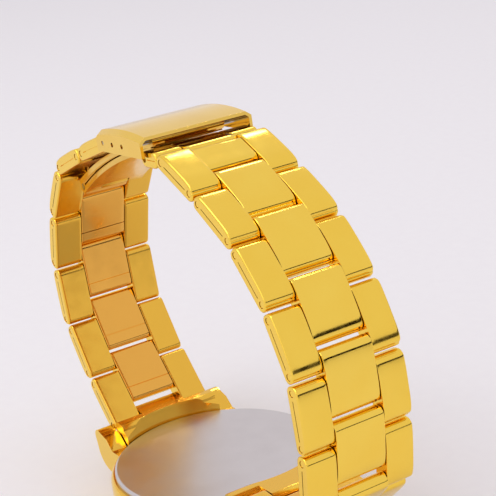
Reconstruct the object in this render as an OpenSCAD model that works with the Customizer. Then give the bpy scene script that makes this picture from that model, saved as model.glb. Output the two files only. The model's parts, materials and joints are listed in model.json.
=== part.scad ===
// Dress watch on a folded three-row bracelet, clasp closed, standing on its crystal.
// Frame: Z through the middle of the dial with the crystal's face at 0 and the
// wrist side up, X towards 12 o'clock, Y towards the crown. Sizes in mm.

/* [Case] */
// Radius of the case middle
case_r = 18; // [17.7:0.1:18.4]
// Height of the case middle
case_h = 4.8; // [4.6:0.1:5.6]
// Distance of the case back's edge from the case wall
back_in = 0.8; // [0.6:0.1:1]
// Thickness of the case back
back_t = 0.8; // [0.7:0.05:0.9]
// Height of the bezel ring
bezel_h = 2.35; // [2.2:0.05:2.5]
// Step from the case wall in to the bezel
bezel_step = 0.7; // [0.4:0.1:1]
// Width of the sloping ring round the dial
rehaut_w = 0.8; // [0.5:0.1:1.2]
// Width of the bezel, from the case wall in to the crystal
bezel_w = 3.4; // [3.2:0.1:3.8]
// Thickness of the crystal
crystal_t = 1.4; // [1.2:0.05:1.5]
// Height of the crystal above the bezel
crystal_proud = 0.25; // [0.15:0.05:0.4]
// Thickness of the gaskets
gasket_t = 0.35; // [0.25:0.05:0.4]

/* [Lugs] */
// Width of one lug
lug_w = 2.7; // [2.2:0.1:3]
// Side play of the band between the lugs
lug_play = 0.15; // [0.1:0.01:0.25]
// Reach of the lug tips past the case wall
lug_out = 3.2; // [2.8:0.1:3.6]
// Radius of a lug tip
lug_tip_r = 1.1; // [0.9:0.1:1.3]
// Distance of the lug spring bars from the case wall
bar_off = 0.8; // [0.75:0.01:0.9]
// Depth of the lug spring bars below the case back
bar_drop = 0.6; // [0.55:0.05:0.7]
// Radius of the lug spring bars
bar_r = 0.6; // [0.5:0.02:0.64]
// Radius of the spring bars' tips
bar_tip_r = 0.4; // [0.3:0.02:0.45]

/* [Dial and hands] */
// Room between crystal and dial
hand_room = 1.8; // [1.75:0.05:2.1]
// Thickness of the dial
dial_t = 0.4; // [0.3:0.05:0.5]
// Length of the hour markers
marker_l = 2.4; // [1.6:0.1:3]
// Width of the hour markers
marker_w = 0.7; // [0.4:0.05:1]
// Distance of the hour hand's tip from the ring round the dial
hour_gap = 5.6; // [4.8:0.1:6.8]
// Distance of the minute hand's tip from the ring
minute_gap = 1.8; // [1.2:0.1:2.8]
// Distance of the second hand's tip from the ring
second_gap = 1.2; // [0.8:0.1:2.8]
// Thickness of the hands
hand_t = 0.2; // [0.12:0.02:0.24]
// Radius of the second hand's staff
staff_r = 0.3; // [0.25:0.01:0.34]
// Running clearance of the hand tubes
tube_fit = 0.06; // [0.04:0.01:0.08]
// Wall of the hand tubes
tube_wall = 0.26; // [0.2:0.01:0.3]

/* [Movement and crown] */
// Width of the ring that holds the movement
holder_w = 5.45; // [5:0.05:6.4]
// Height of the movement
movement_h = 2.8; // [2.6:0.1:3]
// Radius of the battery
battery_r = 3.4; // [3:0.1:3.9]
// Height of the battery
battery_h = 2.1; // [1.6:0.1:2.2]
// Radius of the crown
crown_r = 2.1; // [1.8:0.1:2.4]
// Length of the crown
crown_l = 2.6; // [2.2:0.1:3]
// Radius of the crown's stem
stem_r = 0.5; // [0.4:0.02:0.6]
// Notches round the crown
crown_notches = 20; // [14:1:26]

/* [Band] */
// Width of the band
band_w = 18; // [17.8:0.05:18.1]
// Width of an outer link
outer_w = 4.8; // [4.4:0.1:5.2]
// Gap between centre and outer links
side_gap = 0.1; // [0.06:0.01:0.15]
// Distance between two hinge pins
pitch = 10.15; // [10:0.01:10.3]
// Thickness of the links
link_t = 2.4; // [2.2:0.05:2.45]
// Radius of the rolled link ends
roll_r = 0.9; // [0.6:0.05:1]
// Radius of the outer links' long edges
edge_r = 0.6; // [0.3:0.05:0.8]
// Gap between two outer links
row_gap = 0.4; // [0.35:0.01:0.5]
// Gap between two centre links
centre_gap = 0.45; // [0.4:0.01:0.6]
// Reach of a centre link past its hinge pin
tongue = 2.1; // [1.9:0.05:2.3]
// Distance of the pins from the ends of the outer links
pin_inset = 0.95; // [0.9:0.01:1]
// Radius of the link pins
pin_r = 0.5; // [0.4:0.02:0.55]
// Depth of the pin ends below the links' sides
pin_sink = 0.4; // [0.3:0.05:0.6]
// Running clearance of the pins
pin_fit = 0.05; // [0.03:0.01:0.08]
// Thickness of the folded sheet of a centre link
sheet_t = 0.45; // [0.35:0.05:0.55]
// Width of the folded sheet's seam
seam_w = 0.16; // [0.1:0.02:0.25]
// Depth of the folded sheet's seam
seam_d = 0.25; // [0.15:0.05:0.35]
// Distance of the first hinge pins from the case wall
root_out = 2; // [1.9:0.05:2.3]
// Height of the first hinge pins above the case back
root_rise = 1.5; // [1.45:0.05:1.7]

/* [Clasp] */
// Length of the cover
cover_l = 13.95; // [13.5:0.05:14.5]
// Overhang of the cover behind its spring bar
cover_tail = 1.85; // [1.6:0.05:2]
// Thickness of the cover's sheet
cover_t = 0.5; // [0.4:0.05:0.55]
// Side play of the band in the cover
cover_play = 0.1; // [0.08:0.01:0.2]
// Rise of the cover's arch
cover_rise = 0.6; // [0.4:0.05:0.8]
// Height of the cover's ends above the spring bar
cover_top = 1.72; // [1.7:0.02:1.9]
// Depth of the cover's walls below the spring bar
cover_drop = 1.3; // [1:0.05:1.4]
// Width of the cover's bevel
bevel_w = 0.9; // [0.5:0.1:1.1]
// Distance between two adjusting holes
adjust_step = 3.1; // [2.6:0.05:3.2]
// Length of the cover's hinge pin from the spring bar
cover_pin_x = 8.65; // [8.4:0.05:8.8]
// Height of the cover's hinge pin above the spring bar
cover_pin_z = 0.35; // [0.3:0.05:0.45]
// Radius of the bend of the blades
blade_r = 67; // [65:0.5:69]
// Thickness of a blade
blade_t = 0.8; // [0.6:0.05:0.8]
// Gap between the folded blades
blade_gap = 0.15; // [0.12:0.01:0.2]
// Length of the outer blade between its pins, along its bend
blade_l = 29.95; // [29:0.05:30.2]
// Length of the inner blade past the cover's hinge pin
blade_past = 2.45; // [2.2:0.05:2.6]
// Distance of the outer blade's edges from the band's sides
blade_edge = 2.8; // [2.4:0.1:3.2]
// Step from the outer blade's edge to the inner blade's
blade_step = 0.8; // [0.6:0.1:1]
// Width of the rim round the window in the outer blade
window_rim = 2.8; // [2.4:0.1:3.4]
// Radius of the blades' knuckles
knuckle_r = 0.95; // [0.85:0.05:0.95]
// Radius of the blades' pins
blade_pin_r = 0.45; // [0.35:0.02:0.5]
// Distance between the pins of the end piece
end_l = 5; // [4.8:0.05:5.3]
// Radius of the inner blade's barrel round its end pin
barrel_r = 1.15; // [1:0.05:1.2]
// Thickness of the end piece's tongue
end_tongue_t = 1.3; // [1.2:0.02:1.34]
// Set-back of the tongue's round end from the loop pin
tongue_back = 0.6; // [0.5:0.05:0.8]
// Step from the band's side to the end piece's side
end_step = 0.2; // [0.1:0.05:0.4]

/* [Hidden] */
$fn = 48;
eps = 0.02;
z_bezel = crystal_proud;
z_case = z_bezel + bezel_h;
z_back = z_case + case_h;
z_top = z_back + back_t;
z_dial = crystal_t + hand_room;
z_move = z_dial + dial_t;
crystal_r = case_r - bezel_w;
back_r = case_r - back_in;
lug_reach = case_r + lug_out;
root_x = case_r + root_out;
bore_r = crystal_r + gasket_t;
movement_r = bore_r - holder_w;
dial_in_r = crystal_r - rehaut_w;
hour_l = dial_in_r - hour_gap;
minute_l = dial_in_r - minute_gap;
second_l = dial_in_r - second_gap;
lip_r = (bore_r + back_r) / 2 + 0.3;
lip_h = 0.6;
bar_x = case_r + bar_off;
bar_z = z_top - bar_drop;
root_z = z_top + root_rise;
lug_y = band_w / 2 + lug_play;
crown_z = (z_case + z_back) / 2;
crown_y = case_r + 0.3;
// Local X of an outer link's end, and of the pin that holds its centre link.
outer_x = pitch - pin_inset - row_gap;
fix_x = outer_x - pin_inset;
centre_x = tongue + centre_gap;
outer_y = band_w / 2 - outer_w;
centre_y = outer_y - side_gap;
// The bends of the far half from its first link on, in degrees, set by hand.
far_start = 47;
far_bends = [9.7, 26.6, 23, 16.2, 35, 3.5];
far_count = len(far_bends) + 1;
// The near half's bends keep these shares and close the loop by one factor.
near_shares = [46.5, 41.8, 11.4, 21.8, 16, 16.7, 5.4];
near_count = len(near_shares) + 1;
cover_tilt = 3.5;
// Room that the end piece's tongue has behind its pin, in the last near link.
tongue_open = end_tongue_t / 2 + 0.3;
blade_a1 = 95.6;
blade_a2 = blade_a1 + blade_turn(blade_l);
blade_a3 = blade_a1 - blade_turn(blade_past);
blade_w = band_w / 2 - blade_edge;
blade_in_w = blade_w - blade_step;
window_w = blade_w - window_rim;
end_w = band_w - 2 * end_step;

// Angle that a length takes along the blades.
function blade_turn(l) = l * 180 / (PI * blade_r);

// Chains of links, as points [x, z] in a half that grows towards +X.
function turn_to(bends, i) = i < 1 ? 0 : bends[i - 1] + turn_to(bends, i - 1);
function leg_end(a, l) = l * [cos(a), sin(a)];
function walk(start, bends, k, last, i) =
    i < 1 ? [0, 0]
          : walk(start, bends, k, last, i - 1)
            + leg_end(start + k * turn_to(bends, i - 1), i > len(bends) ? last : pitch);
function turned(p, a) = [p[0] * cos(a) - p[1] * sin(a), p[0] * sin(a) + p[1] * cos(a)];

// Far half: links counted from the case, mirrored to -X when drawn.
root = [root_x, root_z];
function far_dir(i) = far_start + turn_to(far_bends, i);
function far_pin(i) = root + walk(far_start, far_bends, 1, pitch, i);
bar = far_pin(far_count);
clasp = [-bar[0], bar[1]];

// Clasp: its points in the cover's frame, whose origin is the spring bar.
cover_pin = [cover_pin_x, cover_pin_z];
blade_c = cover_pin - (blade_r + cover_pin_z) * [cos(blade_a1), sin(blade_a1)];
fold_pin = blade_c + (blade_r - blade_t - blade_gap / 2) * [cos(blade_a2), sin(blade_a2)];
end_pin = blade_c + (blade_r - 2 * blade_t - blade_gap) * [cos(blade_a3), sin(blade_a3)];
loop_pin = end_pin + [end_l, 0];
arch_r = pow(cover_l, 2) / (8 * cover_rise) + cover_rise / 2;
arch_c = [cover_l / 2 - cover_tail, cover_top + cover_rise - arch_r];

// Near half: one factor on its bends makes its chord reach the clasp's loop pin.
goal = clasp + turned(loop_pin, cover_tilt) - root;
function reach(k) = norm(walk(0, near_shares, k, fix_x, near_count));
function close_by(lo, hi, n) =
    n < 1 ? (lo + hi) / 2
          : reach((lo + hi) / 2) > norm(goal) ? close_by((lo + hi) / 2, hi, n - 1)
                                              : close_by(lo, (lo + hi) / 2, n - 1);
near_k = close_by(0.6, 1.5, 30);
near_end = walk(0, near_shares, near_k, fix_x, near_count);
near_start = atan2(goal[1], goal[0]) - atan2(near_end[1], near_end[0]);
function near_dir(i) = near_start + near_k * turn_to(near_shares, i);
function near_pin(i) = root + walk(near_start, near_shares, near_k, fix_x, i);

gold = [0.91, 0.76, 0.28];
pale_gold = [0.96, 0.84, 0.42];
steel = [0.75, 0.75, 0.77];

// A flat profile [x, z] drawn between two places along Y.
module along_y(y0, y1) {
    translate([0, y1, 0])
        rotate([90, 0, 0])
            linear_extrude(y1 - y0)
                children();
}

// A profile [y, z] drawn between two places along X.
module along_x(x0, x1) {
    translate([x0, 0, 0])
        rotate([90, 0, 90])
            linear_extrude(x1 - x0)
                children();
}

module rod_y(x, z, r, y0, y1) {
    translate([x, y1, z])
        rotate([90, 0, 0])
            cylinder(h = y1 - y0, r = r);
}

module placed(p, a) {
    translate([p[0], 0, p[1]])
        rotate([0, -a, 0])
            children();
}

module in_cover() {
    placed(clasp, cover_tilt)
        children();
}

module ring(r0, r1, z0, z1) {
    translate([0, 0, z0])
        difference() {
            cylinder(h = z1 - z0, r = r1);
            translate([0, 0, -1])
                cylinder(h = z1 - z0 + 2, r = r0);
        }
}

// Strip profile with rolled ends.
module slab(x0, x1) {
    translate([x0 + roll_r, -link_t / 2])
        square([x1 - x0 - 2 * roll_r, link_t]);
    translate([x0, roll_r - link_t / 2])
        square([x1 - x0, link_t - 2 * roll_r]);
    for (x = [x0 + roll_r, x1 - roll_r])
        for (z = [roll_r - link_t / 2, link_t / 2 - roll_r])
            translate([x, z])
                circle(roll_r);
}

// Section of an outer link: rounded along its outer long edges.
module outer_section(w) {
    translate([outer_y, -link_t / 2])
        square([w / 2 - outer_y - edge_r, link_t]);
    translate([outer_y, edge_r - link_t / 2])
        square([w / 2 - outer_y, link_t - 2 * edge_r]);
    for (z = [edge_r - link_t / 2, link_t / 2 - edge_r])
        translate([w / 2 - edge_r, z])
            circle(edge_r);
}

// Both outer links of a row, joined by their pins. Each link is a folded sheet
// whose seam shows along the side, with the pin ends sunk in.
module outer_pair(x0, x1, w, pins) {
    for (s = [0, 1])
        mirror([0, s, 0])
            difference() {
                intersection() {
                    along_y(outer_y, w / 2)
                        slab(x0, x1);
                    along_x(x0 - 1, x1 + 1)
                        outer_section(w);
                }
                for (x = pins)
                    rod_y(x, 0, pin_r, w / 2 - pin_sink, w / 2 + 1);
                translate([x0 + 2 * pin_inset, w / 2 - seam_d, -seam_w / 2])
                    cube([x1 - x0 - 4 * pin_inset, 1, seam_w]);
            }
}

module link_pins(pins) {
    for (x = pins)
        rod_y(x, 0, pin_r, pin_sink - band_w / 2, band_w / 2 - pin_sink);
}

module outer_links(pins) {
    outer_pair(-pin_inset, outer_x, band_w, pins);
    link_pins(pins);
}

// Centre link: a strip folded round its pins, hollow between them, with the
// joint of the fold across its inner face.
module centre_link(x0, x1, bores, hollow) {
    difference() {
        along_y(-centre_y, centre_y)
            slab(x0, x1);
        for (b = bores)
            rod_y(b[0], 0, b[1], -centre_y - 1, centre_y + 1);
        translate([hollow[0], -centre_y - 1, sheet_t - link_t / 2])
            cube([hollow[1] - hollow[0], 2 * centre_y + 2, link_t - 2 * sheet_t]);
        translate([(hollow[0] + hollow[1] - seam_w) / 2, -centre_y - 1, link_t / 2 - sheet_t - 1])
            cube([seam_w, 2 * centre_y + 2, sheet_t + 2]);
    }
}

module centre_links() {
    centre_link(centre_x, pitch + tongue,
        [[fix_x, pin_r + eps], [pitch, pin_r + pin_fit]],
        [centre_x + 2 * sheet_t, fix_x - pin_r - 2 * sheet_t]);
}

module band_12_outer(i) {
    color(gold)
        placed(near_pin(i - 1), near_dir(i - 1))
            if (i < near_count)
                outer_links([0, fix_x]);
            else
                last_outer_links();
}

// The last near pair keeps only the ends of its top pin, beside the end piece.
module last_outer_links() {
    outer_pair(-pin_inset, outer_x, band_w, [0, fix_x]);
    link_pins([0]);
}

module band_12_centre(i) {
    color(pale_gold)
        placed(near_pin(i - 1), near_dir(i - 1))
            if (i < near_count)
                centre_links();
            else
                last_centre_link();
}

// The last near centre link is open at its end and along its inner face there,
// so that the end piece's tongue can leave it.
module last_centre_link() {
    difference() {
        along_y(-centre_y, centre_y)
            slab(centre_x, fix_x + 0.15);
        translate([centre_x + 2 * sheet_t, -centre_y - 1, sheet_t - link_t / 2])
            cube([outer_x, 2 * centre_y + 2, link_t - 2 * sheet_t]);
        translate([fix_x - tongue_open, -centre_y - 1, 0])
            cube([outer_x, 2 * centre_y + 2, link_t]);
    }
    side_tabs(centre_x + sheet_t / 2, 1.2 * sheet_t);
}

// The tabs that hold a centre piece between its two outer links, from x on.
module side_tabs(x, w) {
    for (s = [0, 1])
        mirror([0, s, 0])
            along_y(centre_y - eps, outer_y)
                translate([x, -0.5])
                    square([w, 1]);
}

module band_6_outer(i) {
    color(gold)
        mirror([1, 0, 0])
            placed(far_pin(i - 1), far_dir(i - 1))
                if (i < far_count)
                    outer_links([0, fix_x]);
                else
                    bar_outer_links();
}

// The last far pair carries the clasp's spring bar in its end.
module bar_outer_links() {
    difference() {
        outer_pair(-pin_inset, pitch + pin_inset, band_w, [0]);
        rod_y(pitch, 0, bar_r + pin_fit, -band_w, band_w);
    }
    link_pins([0]);
}

module band_6_centre(i) {
    color(pale_gold)
        mirror([1, 0, 0])
            placed(far_pin(i - 1), far_dir(i - 1))
                if (i < far_count)
                    centre_links();
                else
                    centre_link(centre_x, pitch + pin_inset, [[pitch, bar_r + pin_fit]],
                        [centre_x + 2 * sheet_t, fix_x - pin_r - 2 * sheet_t]);
}

// End link between the lugs: it fits round the case and the spring bar, and its
// tongue takes the first hinge pin.
module end_link_profile() {
    difference() {
        union() {
            translate([0, root_z])
                slab(root_x - 4, root_x - pin_inset - row_gap);
            polygon([[back_r - 3.7, z_back + 0.05], [back_r - 3.7, z_top + 0.1],
                [root_x - 3.4, root_z + link_t / 2 - 0.7],
                [root_x - 2.2, root_z + link_t / 2], [root_x - 2.2, root_z - link_t / 2],
                [bar_x, bar_z], [bar_x, bar_z - bar_r - 0.5], [case_r - 1, bar_z - bar_r - 0.5]]);
            translate([bar_x, bar_z])
                circle(bar_r + 0.5);
        }
        translate([root_x, root_z])
            circle(pin_inset + row_gap);
    }
}

module end_link() {
    difference() {
        union() {
            along_y(-band_w / 2, band_w / 2)
                end_link_profile();
            along_y(-centre_y, centre_y)
                translate([0, root_z])
                    slab(root_x - 4, root_x + tongue);
        }
        rod_y(bar_x, bar_z, bar_r + eps, -band_w, band_w);
        rod_y(root_x, root_z, pin_r + pin_fit, -band_w, band_w);
        translate([0, 0, -1])
            cylinder(h = z_back + 1 + eps, r = case_r + eps);
        cylinder(h = 3 * z_top, r = back_r + 0.1);
        for (s = [-1, 1])
            translate([root_x - pin_inset - row_gap, s * (centre_y + band_w) - band_w, root_z - link_t])
                cube([5, 2 * band_w, 2 * link_t]);
    }
}

module end_link_12() {
    color(gold)
        end_link();
}

module end_link_6() {
    color(gold)
        mirror([1, 0, 0])
            end_link();
}

// Lug outline seen from the side: an arc down to the tip on the wrist side.
function arc_points(c, r, a0, a1, n) =
    [for (i = [0:n]) c + r * [cos(a0 + (a1 - a0) * i / n), sin(a0 + (a1 - a0) * i / n)]];

module lug_profile() {
    tip = [lug_reach - lug_tip_r, z_top + 0.45];
    polygon(concat(
        [[case_r - 6, z_case + 0.6], [case_r - 1.2, z_case + 0.6]],
        arc_points([case_r - 1.2, z_case + 4.6], 4, -90, -25, 8),
        arc_points(tip, lug_tip_r, -20, 110, 8),
        [[case_r - 0.9, z_top + 0.7], [case_r - 2.6, z_back], [case_r - 6, z_back]]));
}

module case_middle() {
    color(gold)
        difference() {
            union() {
                rotate_extrude($fn = 96)
                    polygon([[bore_r, z_case], [case_r - bezel_step, z_case],
                        [case_r - 0.1, z_case + 0.7], [case_r, z_case + 1.3],
                        [case_r, z_back - 0.8], [case_r - 0.3, z_back - 0.15],
                        [case_r - 0.5, z_back], [bore_r, z_back]]);
                difference() {
                    for (s = [0, 1], t = [0, 1])
                        mirror([s, 0, 0])
                            mirror([0, t, 0])
                                along_y(lug_y, lug_y + lug_w)
                                    lug_profile();
                    cylinder(h = 3 * z_top, r = bore_r + 1);
                }
            }
            translate([0, 0, z_back - lip_h])
                cylinder(h = lip_h + 5, r = lip_r + eps);
            ring(lip_r + 0.1, lip_r + 0.1 + gasket_t, z_back - gasket_t, z_back + 1);
            for (s = [-1, 1])
                rod_y(s * bar_x, bar_z, bar_tip_r + eps, -lug_y - 1.5, lug_y + 1.5);
            translate([0, 0, crown_z])
                rotate([-90, 0, 0])
                    cylinder(h = 3 * case_r, r = stem_r + 0.6);
        }
}

module bezel() {
    color(pale_gold)
        rotate_extrude($fn = 96)
            polygon([[bore_r, z_bezel], [bore_r + 0.7, z_bezel],
                [case_r - bezel_step - 0.5, z_bezel + 0.9], [case_r - bezel_step, z_bezel + 1.5],
                [case_r - bezel_step, z_case], [bore_r - eps, z_case], [bore_r - eps, z_dial],
                [crystal_r - rehaut_w, z_dial], [crystal_r - rehaut_w + 0.4, crystal_t],
                [bore_r, crystal_t]]);
}

module crystal() {
    color([0.85, 0.92, 0.95, 0.4])
        rotate_extrude($fn = 96)
            polygon([[0, 0], [crystal_r - 0.2, 0], [crystal_r, 0.2], [crystal_r, crystal_t],
                [0, crystal_t]]);
}

module crystal_gasket() {
    color([0.9, 0.9, 0.88])
        ring(crystal_r, bore_r, crystal_proud + 0.3, crystal_t);
}

module dial() {
    color([0.95, 0.93, 0.86])
        difference() {
            translate([0, 0, z_dial])
                cylinder(h = dial_t, r = crystal_r);
            translate([0, 0, z_dial - 1])
                cylinder(h = dial_t + 2, r = hour_tube_r + tube_fit);
        }
}

minute_tube_r = staff_r + tube_fit + tube_wall;
hour_tube_r = minute_tube_r + tube_fit + tube_wall;
marker_t = 0.25;

module hour_markers() {
    color(gold)
        for (h = [0:11])
            rotate([0, 0, 30 * h])
                translate([crystal_r - rehaut_w - marker_l - 0.7, -marker_w / 2, z_dial - marker_t])
                    for (w = h % 3 == 0 ? [-0.5, 0.5] : [0])
                        translate([0, w * 1.3 * marker_w, 0])
                            cube([marker_l, marker_w * (h % 3 == 0 ? 0.9 : 1), marker_t]);
}

// A dauphine hand: a kite with a short tail, on a round boss.
module hand(l, w, tail, z) {
    translate([0, 0, z])
        linear_extrude(hand_t) {
            polygon([[-tail, 0], [0, -w / 2], [l, 0], [0, w / 2]]);
            circle(w / 2 + 0.15);
        }
}

hour_z = z_dial - marker_t - hand_t - 0.1;
minute_z = hour_z - hand_t - 0.2;
second_z = minute_z - hand_t - 0.2;

module hour_hand() {
    color(gold)
        rotate([0, 0, 305])
            difference() {
                union() {
                    hand(hour_l, 2 * hour_tube_r + 0.1, 2, hour_z);
                    translate([0, 0, hour_z])
                        cylinder(h = z_move - hour_z + 0.5, r = hour_tube_r);
                }
                translate([0, 0, hour_z - 1])
                    cylinder(h = 5, r = minute_tube_r + tube_fit);
            }
}

module minute_hand() {
    color(gold)
        rotate([0, 0, 60])
            difference() {
                union() {
                    hand(minute_l, 2 * minute_tube_r + 0.4, 2.4, minute_z);
                    translate([0, 0, minute_z])
                        cylinder(h = z_move - minute_z + 0.9, r = minute_tube_r);
                }
                translate([0, 0, minute_z - 1])
                    cylinder(h = 6, r = staff_r + tube_fit);
            }
}

module second_hand() {
    color(steel)
        rotate([0, 0, 210]) {
            translate([-3.2, -0.12, second_z])
                cube([second_l + 3.2, 0.24, hand_t]);
            translate([0, 0, second_z])
                cylinder(h = hand_t, r = 0.75);
            translate([0, 0, second_z])
                cylinder(h = z_move - second_z + 1.3, r = staff_r);
        }
}

module movement_holder() {
    color([0.85, 0.85, 0.85])
        difference() {
            ring(movement_r + eps, bore_r - eps, z_move, z_move + movement_h + 0.1);
            translate([0, 0, crown_z])
                rotate([-90, 0, 0])
                    cylinder(h = 3 * case_r, r = stem_r + 0.1);
        }
}

battery_x = -movement_r / 2;

module movement() {
    color([0.7, 0.66, 0.5])
        difference() {
            translate([0, 0, z_move])
                cylinder(h = movement_h, r = movement_r);
            translate([0, 0, z_move - 1])
                cylinder(h = 3, r = hour_tube_r + tube_fit);
            translate([battery_x, 0, z_move + movement_h - battery_h])
                cylinder(h = 5, r = battery_r + eps);
            translate([0, 0, crown_z])
                rotate([-90, 0, 0])
                    translate([0, 0, movement_r - 3.5])
                        cylinder(h = 3 * case_r, r = stem_r + pin_fit);
        }
}

module battery() {
    color(steel)
        translate([battery_x, 0, z_move + movement_h - battery_h])
            cylinder(h = battery_h, r = battery_r);
}

module case_back() {
    color(steel) {
        rotate_extrude($fn = 96)
            polygon([[0, z_back], [back_r, z_back], [back_r, z_top - 0.3],
                [back_r - 0.35, z_top], [0, z_top]]);
        ring(lip_r - 1, lip_r, z_back - lip_h + 0.05, z_back + eps);
    }
}

module back_gasket() {
    color([0.15, 0.15, 0.15])
        ring(lip_r + 0.1, lip_r + 0.1 + gasket_t, z_back - gasket_t, z_back);
}

module crown() {
    color(gold)
        translate([0, crown_y, crown_z])
            rotate([-90, 0, 0])
                difference() {
                    rotate_extrude()
                        polygon([[0, 1.3], [1.4, 1.3], [1.4, 0], [crown_r - 0.25, 0],
                            [crown_r, 0.25], [crown_r, crown_l - 0.5],
                            [crown_r - 0.5, crown_l], [0, crown_l]]);
                    translate([0, 0, -1])
                        cylinder(h = 3, r = stem_r);
                    for (i = [0:crown_notches - 1])
                        rotate([0, 0, 360 * i / crown_notches])
                            translate([crown_r + 0.06, 0, -1])
                                cylinder(h = crown_l + 0.6, r = 0.18);
                }
}

module crown_stem() {
    color(steel)
        rod_y(0, crown_z, stem_r, movement_r - 2, crown_y + 2);
}

module crown_tube() {
    color(gold)
        difference() {
            rod_y(0, crown_z, stem_r + 0.6, case_r - 2, case_r + 0.8);
            rod_y(0, crown_z, stem_r + pin_fit, case_r - 3, case_r + 3);
        }
}

module crown_gasket() {
    color([0.15, 0.15, 0.15])
        difference() {
            rod_y(0, crown_z, stem_r + 0.85, crown_y + 0.9, crown_y + 1.25);
            rod_y(0, crown_z, stem_r + eps, crown_y, crown_y + 3);
        }
}

module lug_spring_bars() {
    color(steel)
        for (s = [-1, 1]) {
            rod_y(s * bar_x, bar_z, bar_r, 0.15 - band_w / 2, band_w / 2 - 0.15);
            rod_y(s * bar_x, bar_z, bar_tip_r, -lug_y - 1.4, lug_y + 1.4);
        }
}

// Cover: a bevelled channel, arched along its length, with a straight lower edge.
cover_y = band_w / 2 + cover_play + cover_t;
bevel_h = 0.7;
bevel_l = norm([bevel_w, bevel_h]);

// Its section, moved in from the outside by an even thickness.
module cover_section(inset, depth) {
    side = cover_y - inset;
    top = cover_y - bevel_w - inset * (bevel_l - bevel_w) / bevel_h;
    shoulder = arch_r - bevel_h - inset * (bevel_l - bevel_h) / bevel_w;
    polygon([[arch_r - depth, -side], [shoulder, -side], [arch_r - inset, -top],
        [arch_r - inset, top], [shoulder, side], [arch_r - depth, side]]);
}

module clasp_cover() {
    color(gold)
        in_cover()
            difference() {
                intersection() {
                    translate([arch_c[0], 0, arch_c[1]])
                        rotate([90, 0, 0])
                            rotate_extrude($fn = 128)
                                difference() {
                                    cover_section(0, 6);
                                    cover_section(cover_t, 7);
                                }
                    translate([-cover_tail, -cover_y - 1, -cover_drop])
                        cube([cover_l, 2 * cover_y + 2, 10]);
                }
                for (i = [0:2])
                    rod_y(i * adjust_step, 0, bar_tip_r + eps, -cover_y - 1, cover_y + 1);
                rod_y(cover_pin[0], cover_pin[1], blade_pin_r + eps, 0.2 - cover_y, cover_y - 0.2);
            }
}

module clasp_spring_bar() {
    color(steel)
        in_cover() {
            rod_y(0, 0, bar_r, 0.15 - band_w / 2, band_w / 2 - 0.15);
            rod_y(0, 0, bar_tip_r, 0.1 - cover_y, cover_y - 0.1);
        }
}

// A piece of ring between two angles round the blades' centre.
module arc_band(r0, r1, a0, a1) {
    translate(blade_c)
        intersection() {
            difference() {
                circle(r1, $fn = 720);
                circle(r0, $fn = 720);
            }
            polygon([[0, 0], 1.1 * r1 * [cos(a0), sin(a0)], 1.1 * r1 * [cos((a0 + a1) / 2), sin((a0 + a1) / 2)],
                1.1 * r1 * [cos(a1), sin(a1)]]);
        }
}

knuckle_turn = blade_turn(knuckle_r + 0.25);
finger_y = 2.4;

module knuckle(p, r = knuckle_r) {
    translate(p)
        circle(r);
}

module clasp_blade_outer() {
    color(pale_gold)
        in_cover()
            difference() {
                union() {
                    along_y(-blade_w, blade_w) {
                        arc_band(blade_r - blade_t, blade_r, blade_a1, blade_a2 - knuckle_turn);
                        knuckle(cover_pin);
                    }
                    along_y(-finger_y, finger_y) {
                        arc_band(blade_r - blade_t, blade_r, blade_a2 - 2 * knuckle_turn, blade_a2);
                        knuckle(fold_pin);
                    }
                }
                rod_y(cover_pin[0], cover_pin[1], blade_pin_r + pin_fit, -10, 10);
                rod_y(fold_pin[0], fold_pin[1], blade_pin_r + eps, -10, 10);
                along_y(-window_w, window_w)
                    arc_band(blade_r - 2, blade_r + 1, blade_a1 + 5, blade_a2 - 6);
            }
}

module clasp_blade_inner() {
    r1 = blade_r - blade_t - blade_gap;
    neck_y = centre_y - 0.2;
    color(pale_gold)
        in_cover()
            difference() {
                union() {
                    along_y(-blade_in_w, blade_in_w)
                        arc_band(r1 - blade_t, r1, blade_a3 + blade_turn(1.9), blade_a2 - knuckle_turn);
                    along_y(-neck_y, neck_y) {
                        arc_band(r1 - blade_t, r1, blade_a3, blade_a3 + blade_turn(3));
                        knuckle(end_pin, barrel_r);
                    }
                    for (s = [0, 1])
                        mirror([0, s, 0])
                            along_y(finger_y + 0.1, blade_in_w) {
                                arc_band(r1 - blade_t, r1, blade_a2 - 2 * knuckle_turn, blade_a2);
                                knuckle(fold_pin);
                            }
                }
                rod_y(fold_pin[0], fold_pin[1], blade_pin_r + pin_fit, -10, 10);
                rod_y(end_pin[0], end_pin[1], blade_pin_r + pin_fit, -10, 10);
            }
}

module cover_hinge_pin() {
    color(steel)
        in_cover()
            rod_y(cover_pin[0], cover_pin[1], blade_pin_r, 0.25 - cover_y, cover_y - 0.25);
}

module blade_hinge_pin() {
    color(steel)
        in_cover()
            rod_y(fold_pin[0], fold_pin[1], blade_pin_r, -blade_in_w, blade_in_w);
}

module clasp_end_pin() {
    color(steel)
        in_cover()
            rod_y(end_pin[0], end_pin[1], blade_pin_r, 0.4 - end_w / 2, end_w / 2 - 0.4);
}

// End piece: its tongue sits in the last near link, its other end on the blade.
module end_piece_outer() {
    color(gold)
        in_cover()
            translate([loop_pin[0], 0, loop_pin[1]])
                difference() {
                    outer_pair(-end_l - pin_inset, -pin_inset - row_gap, end_w, []);
                    rod_y(-end_l, 0, blade_pin_r + eps, 0.4 - end_w / 2, end_w / 2 - 0.4);
                    rod_y(-end_l, 0, 0.3, -end_w, end_w);
                }
}

module end_piece_centre() {
    color(pale_gold)
        in_cover()
            translate([loop_pin[0], 0, loop_pin[1]]) {
                along_y(-centre_y, centre_y) {
                    translate([barrel_r + 0.25 - end_l, -end_tongue_t / 2])
                        square([end_l - barrel_r - 0.25 - tongue_back, end_tongue_t]);
                    translate([-tongue_back, 0])
                        circle(end_tongue_t / 2);
                }
                side_tabs(2 - end_l, 1.2);
            }
}

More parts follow.
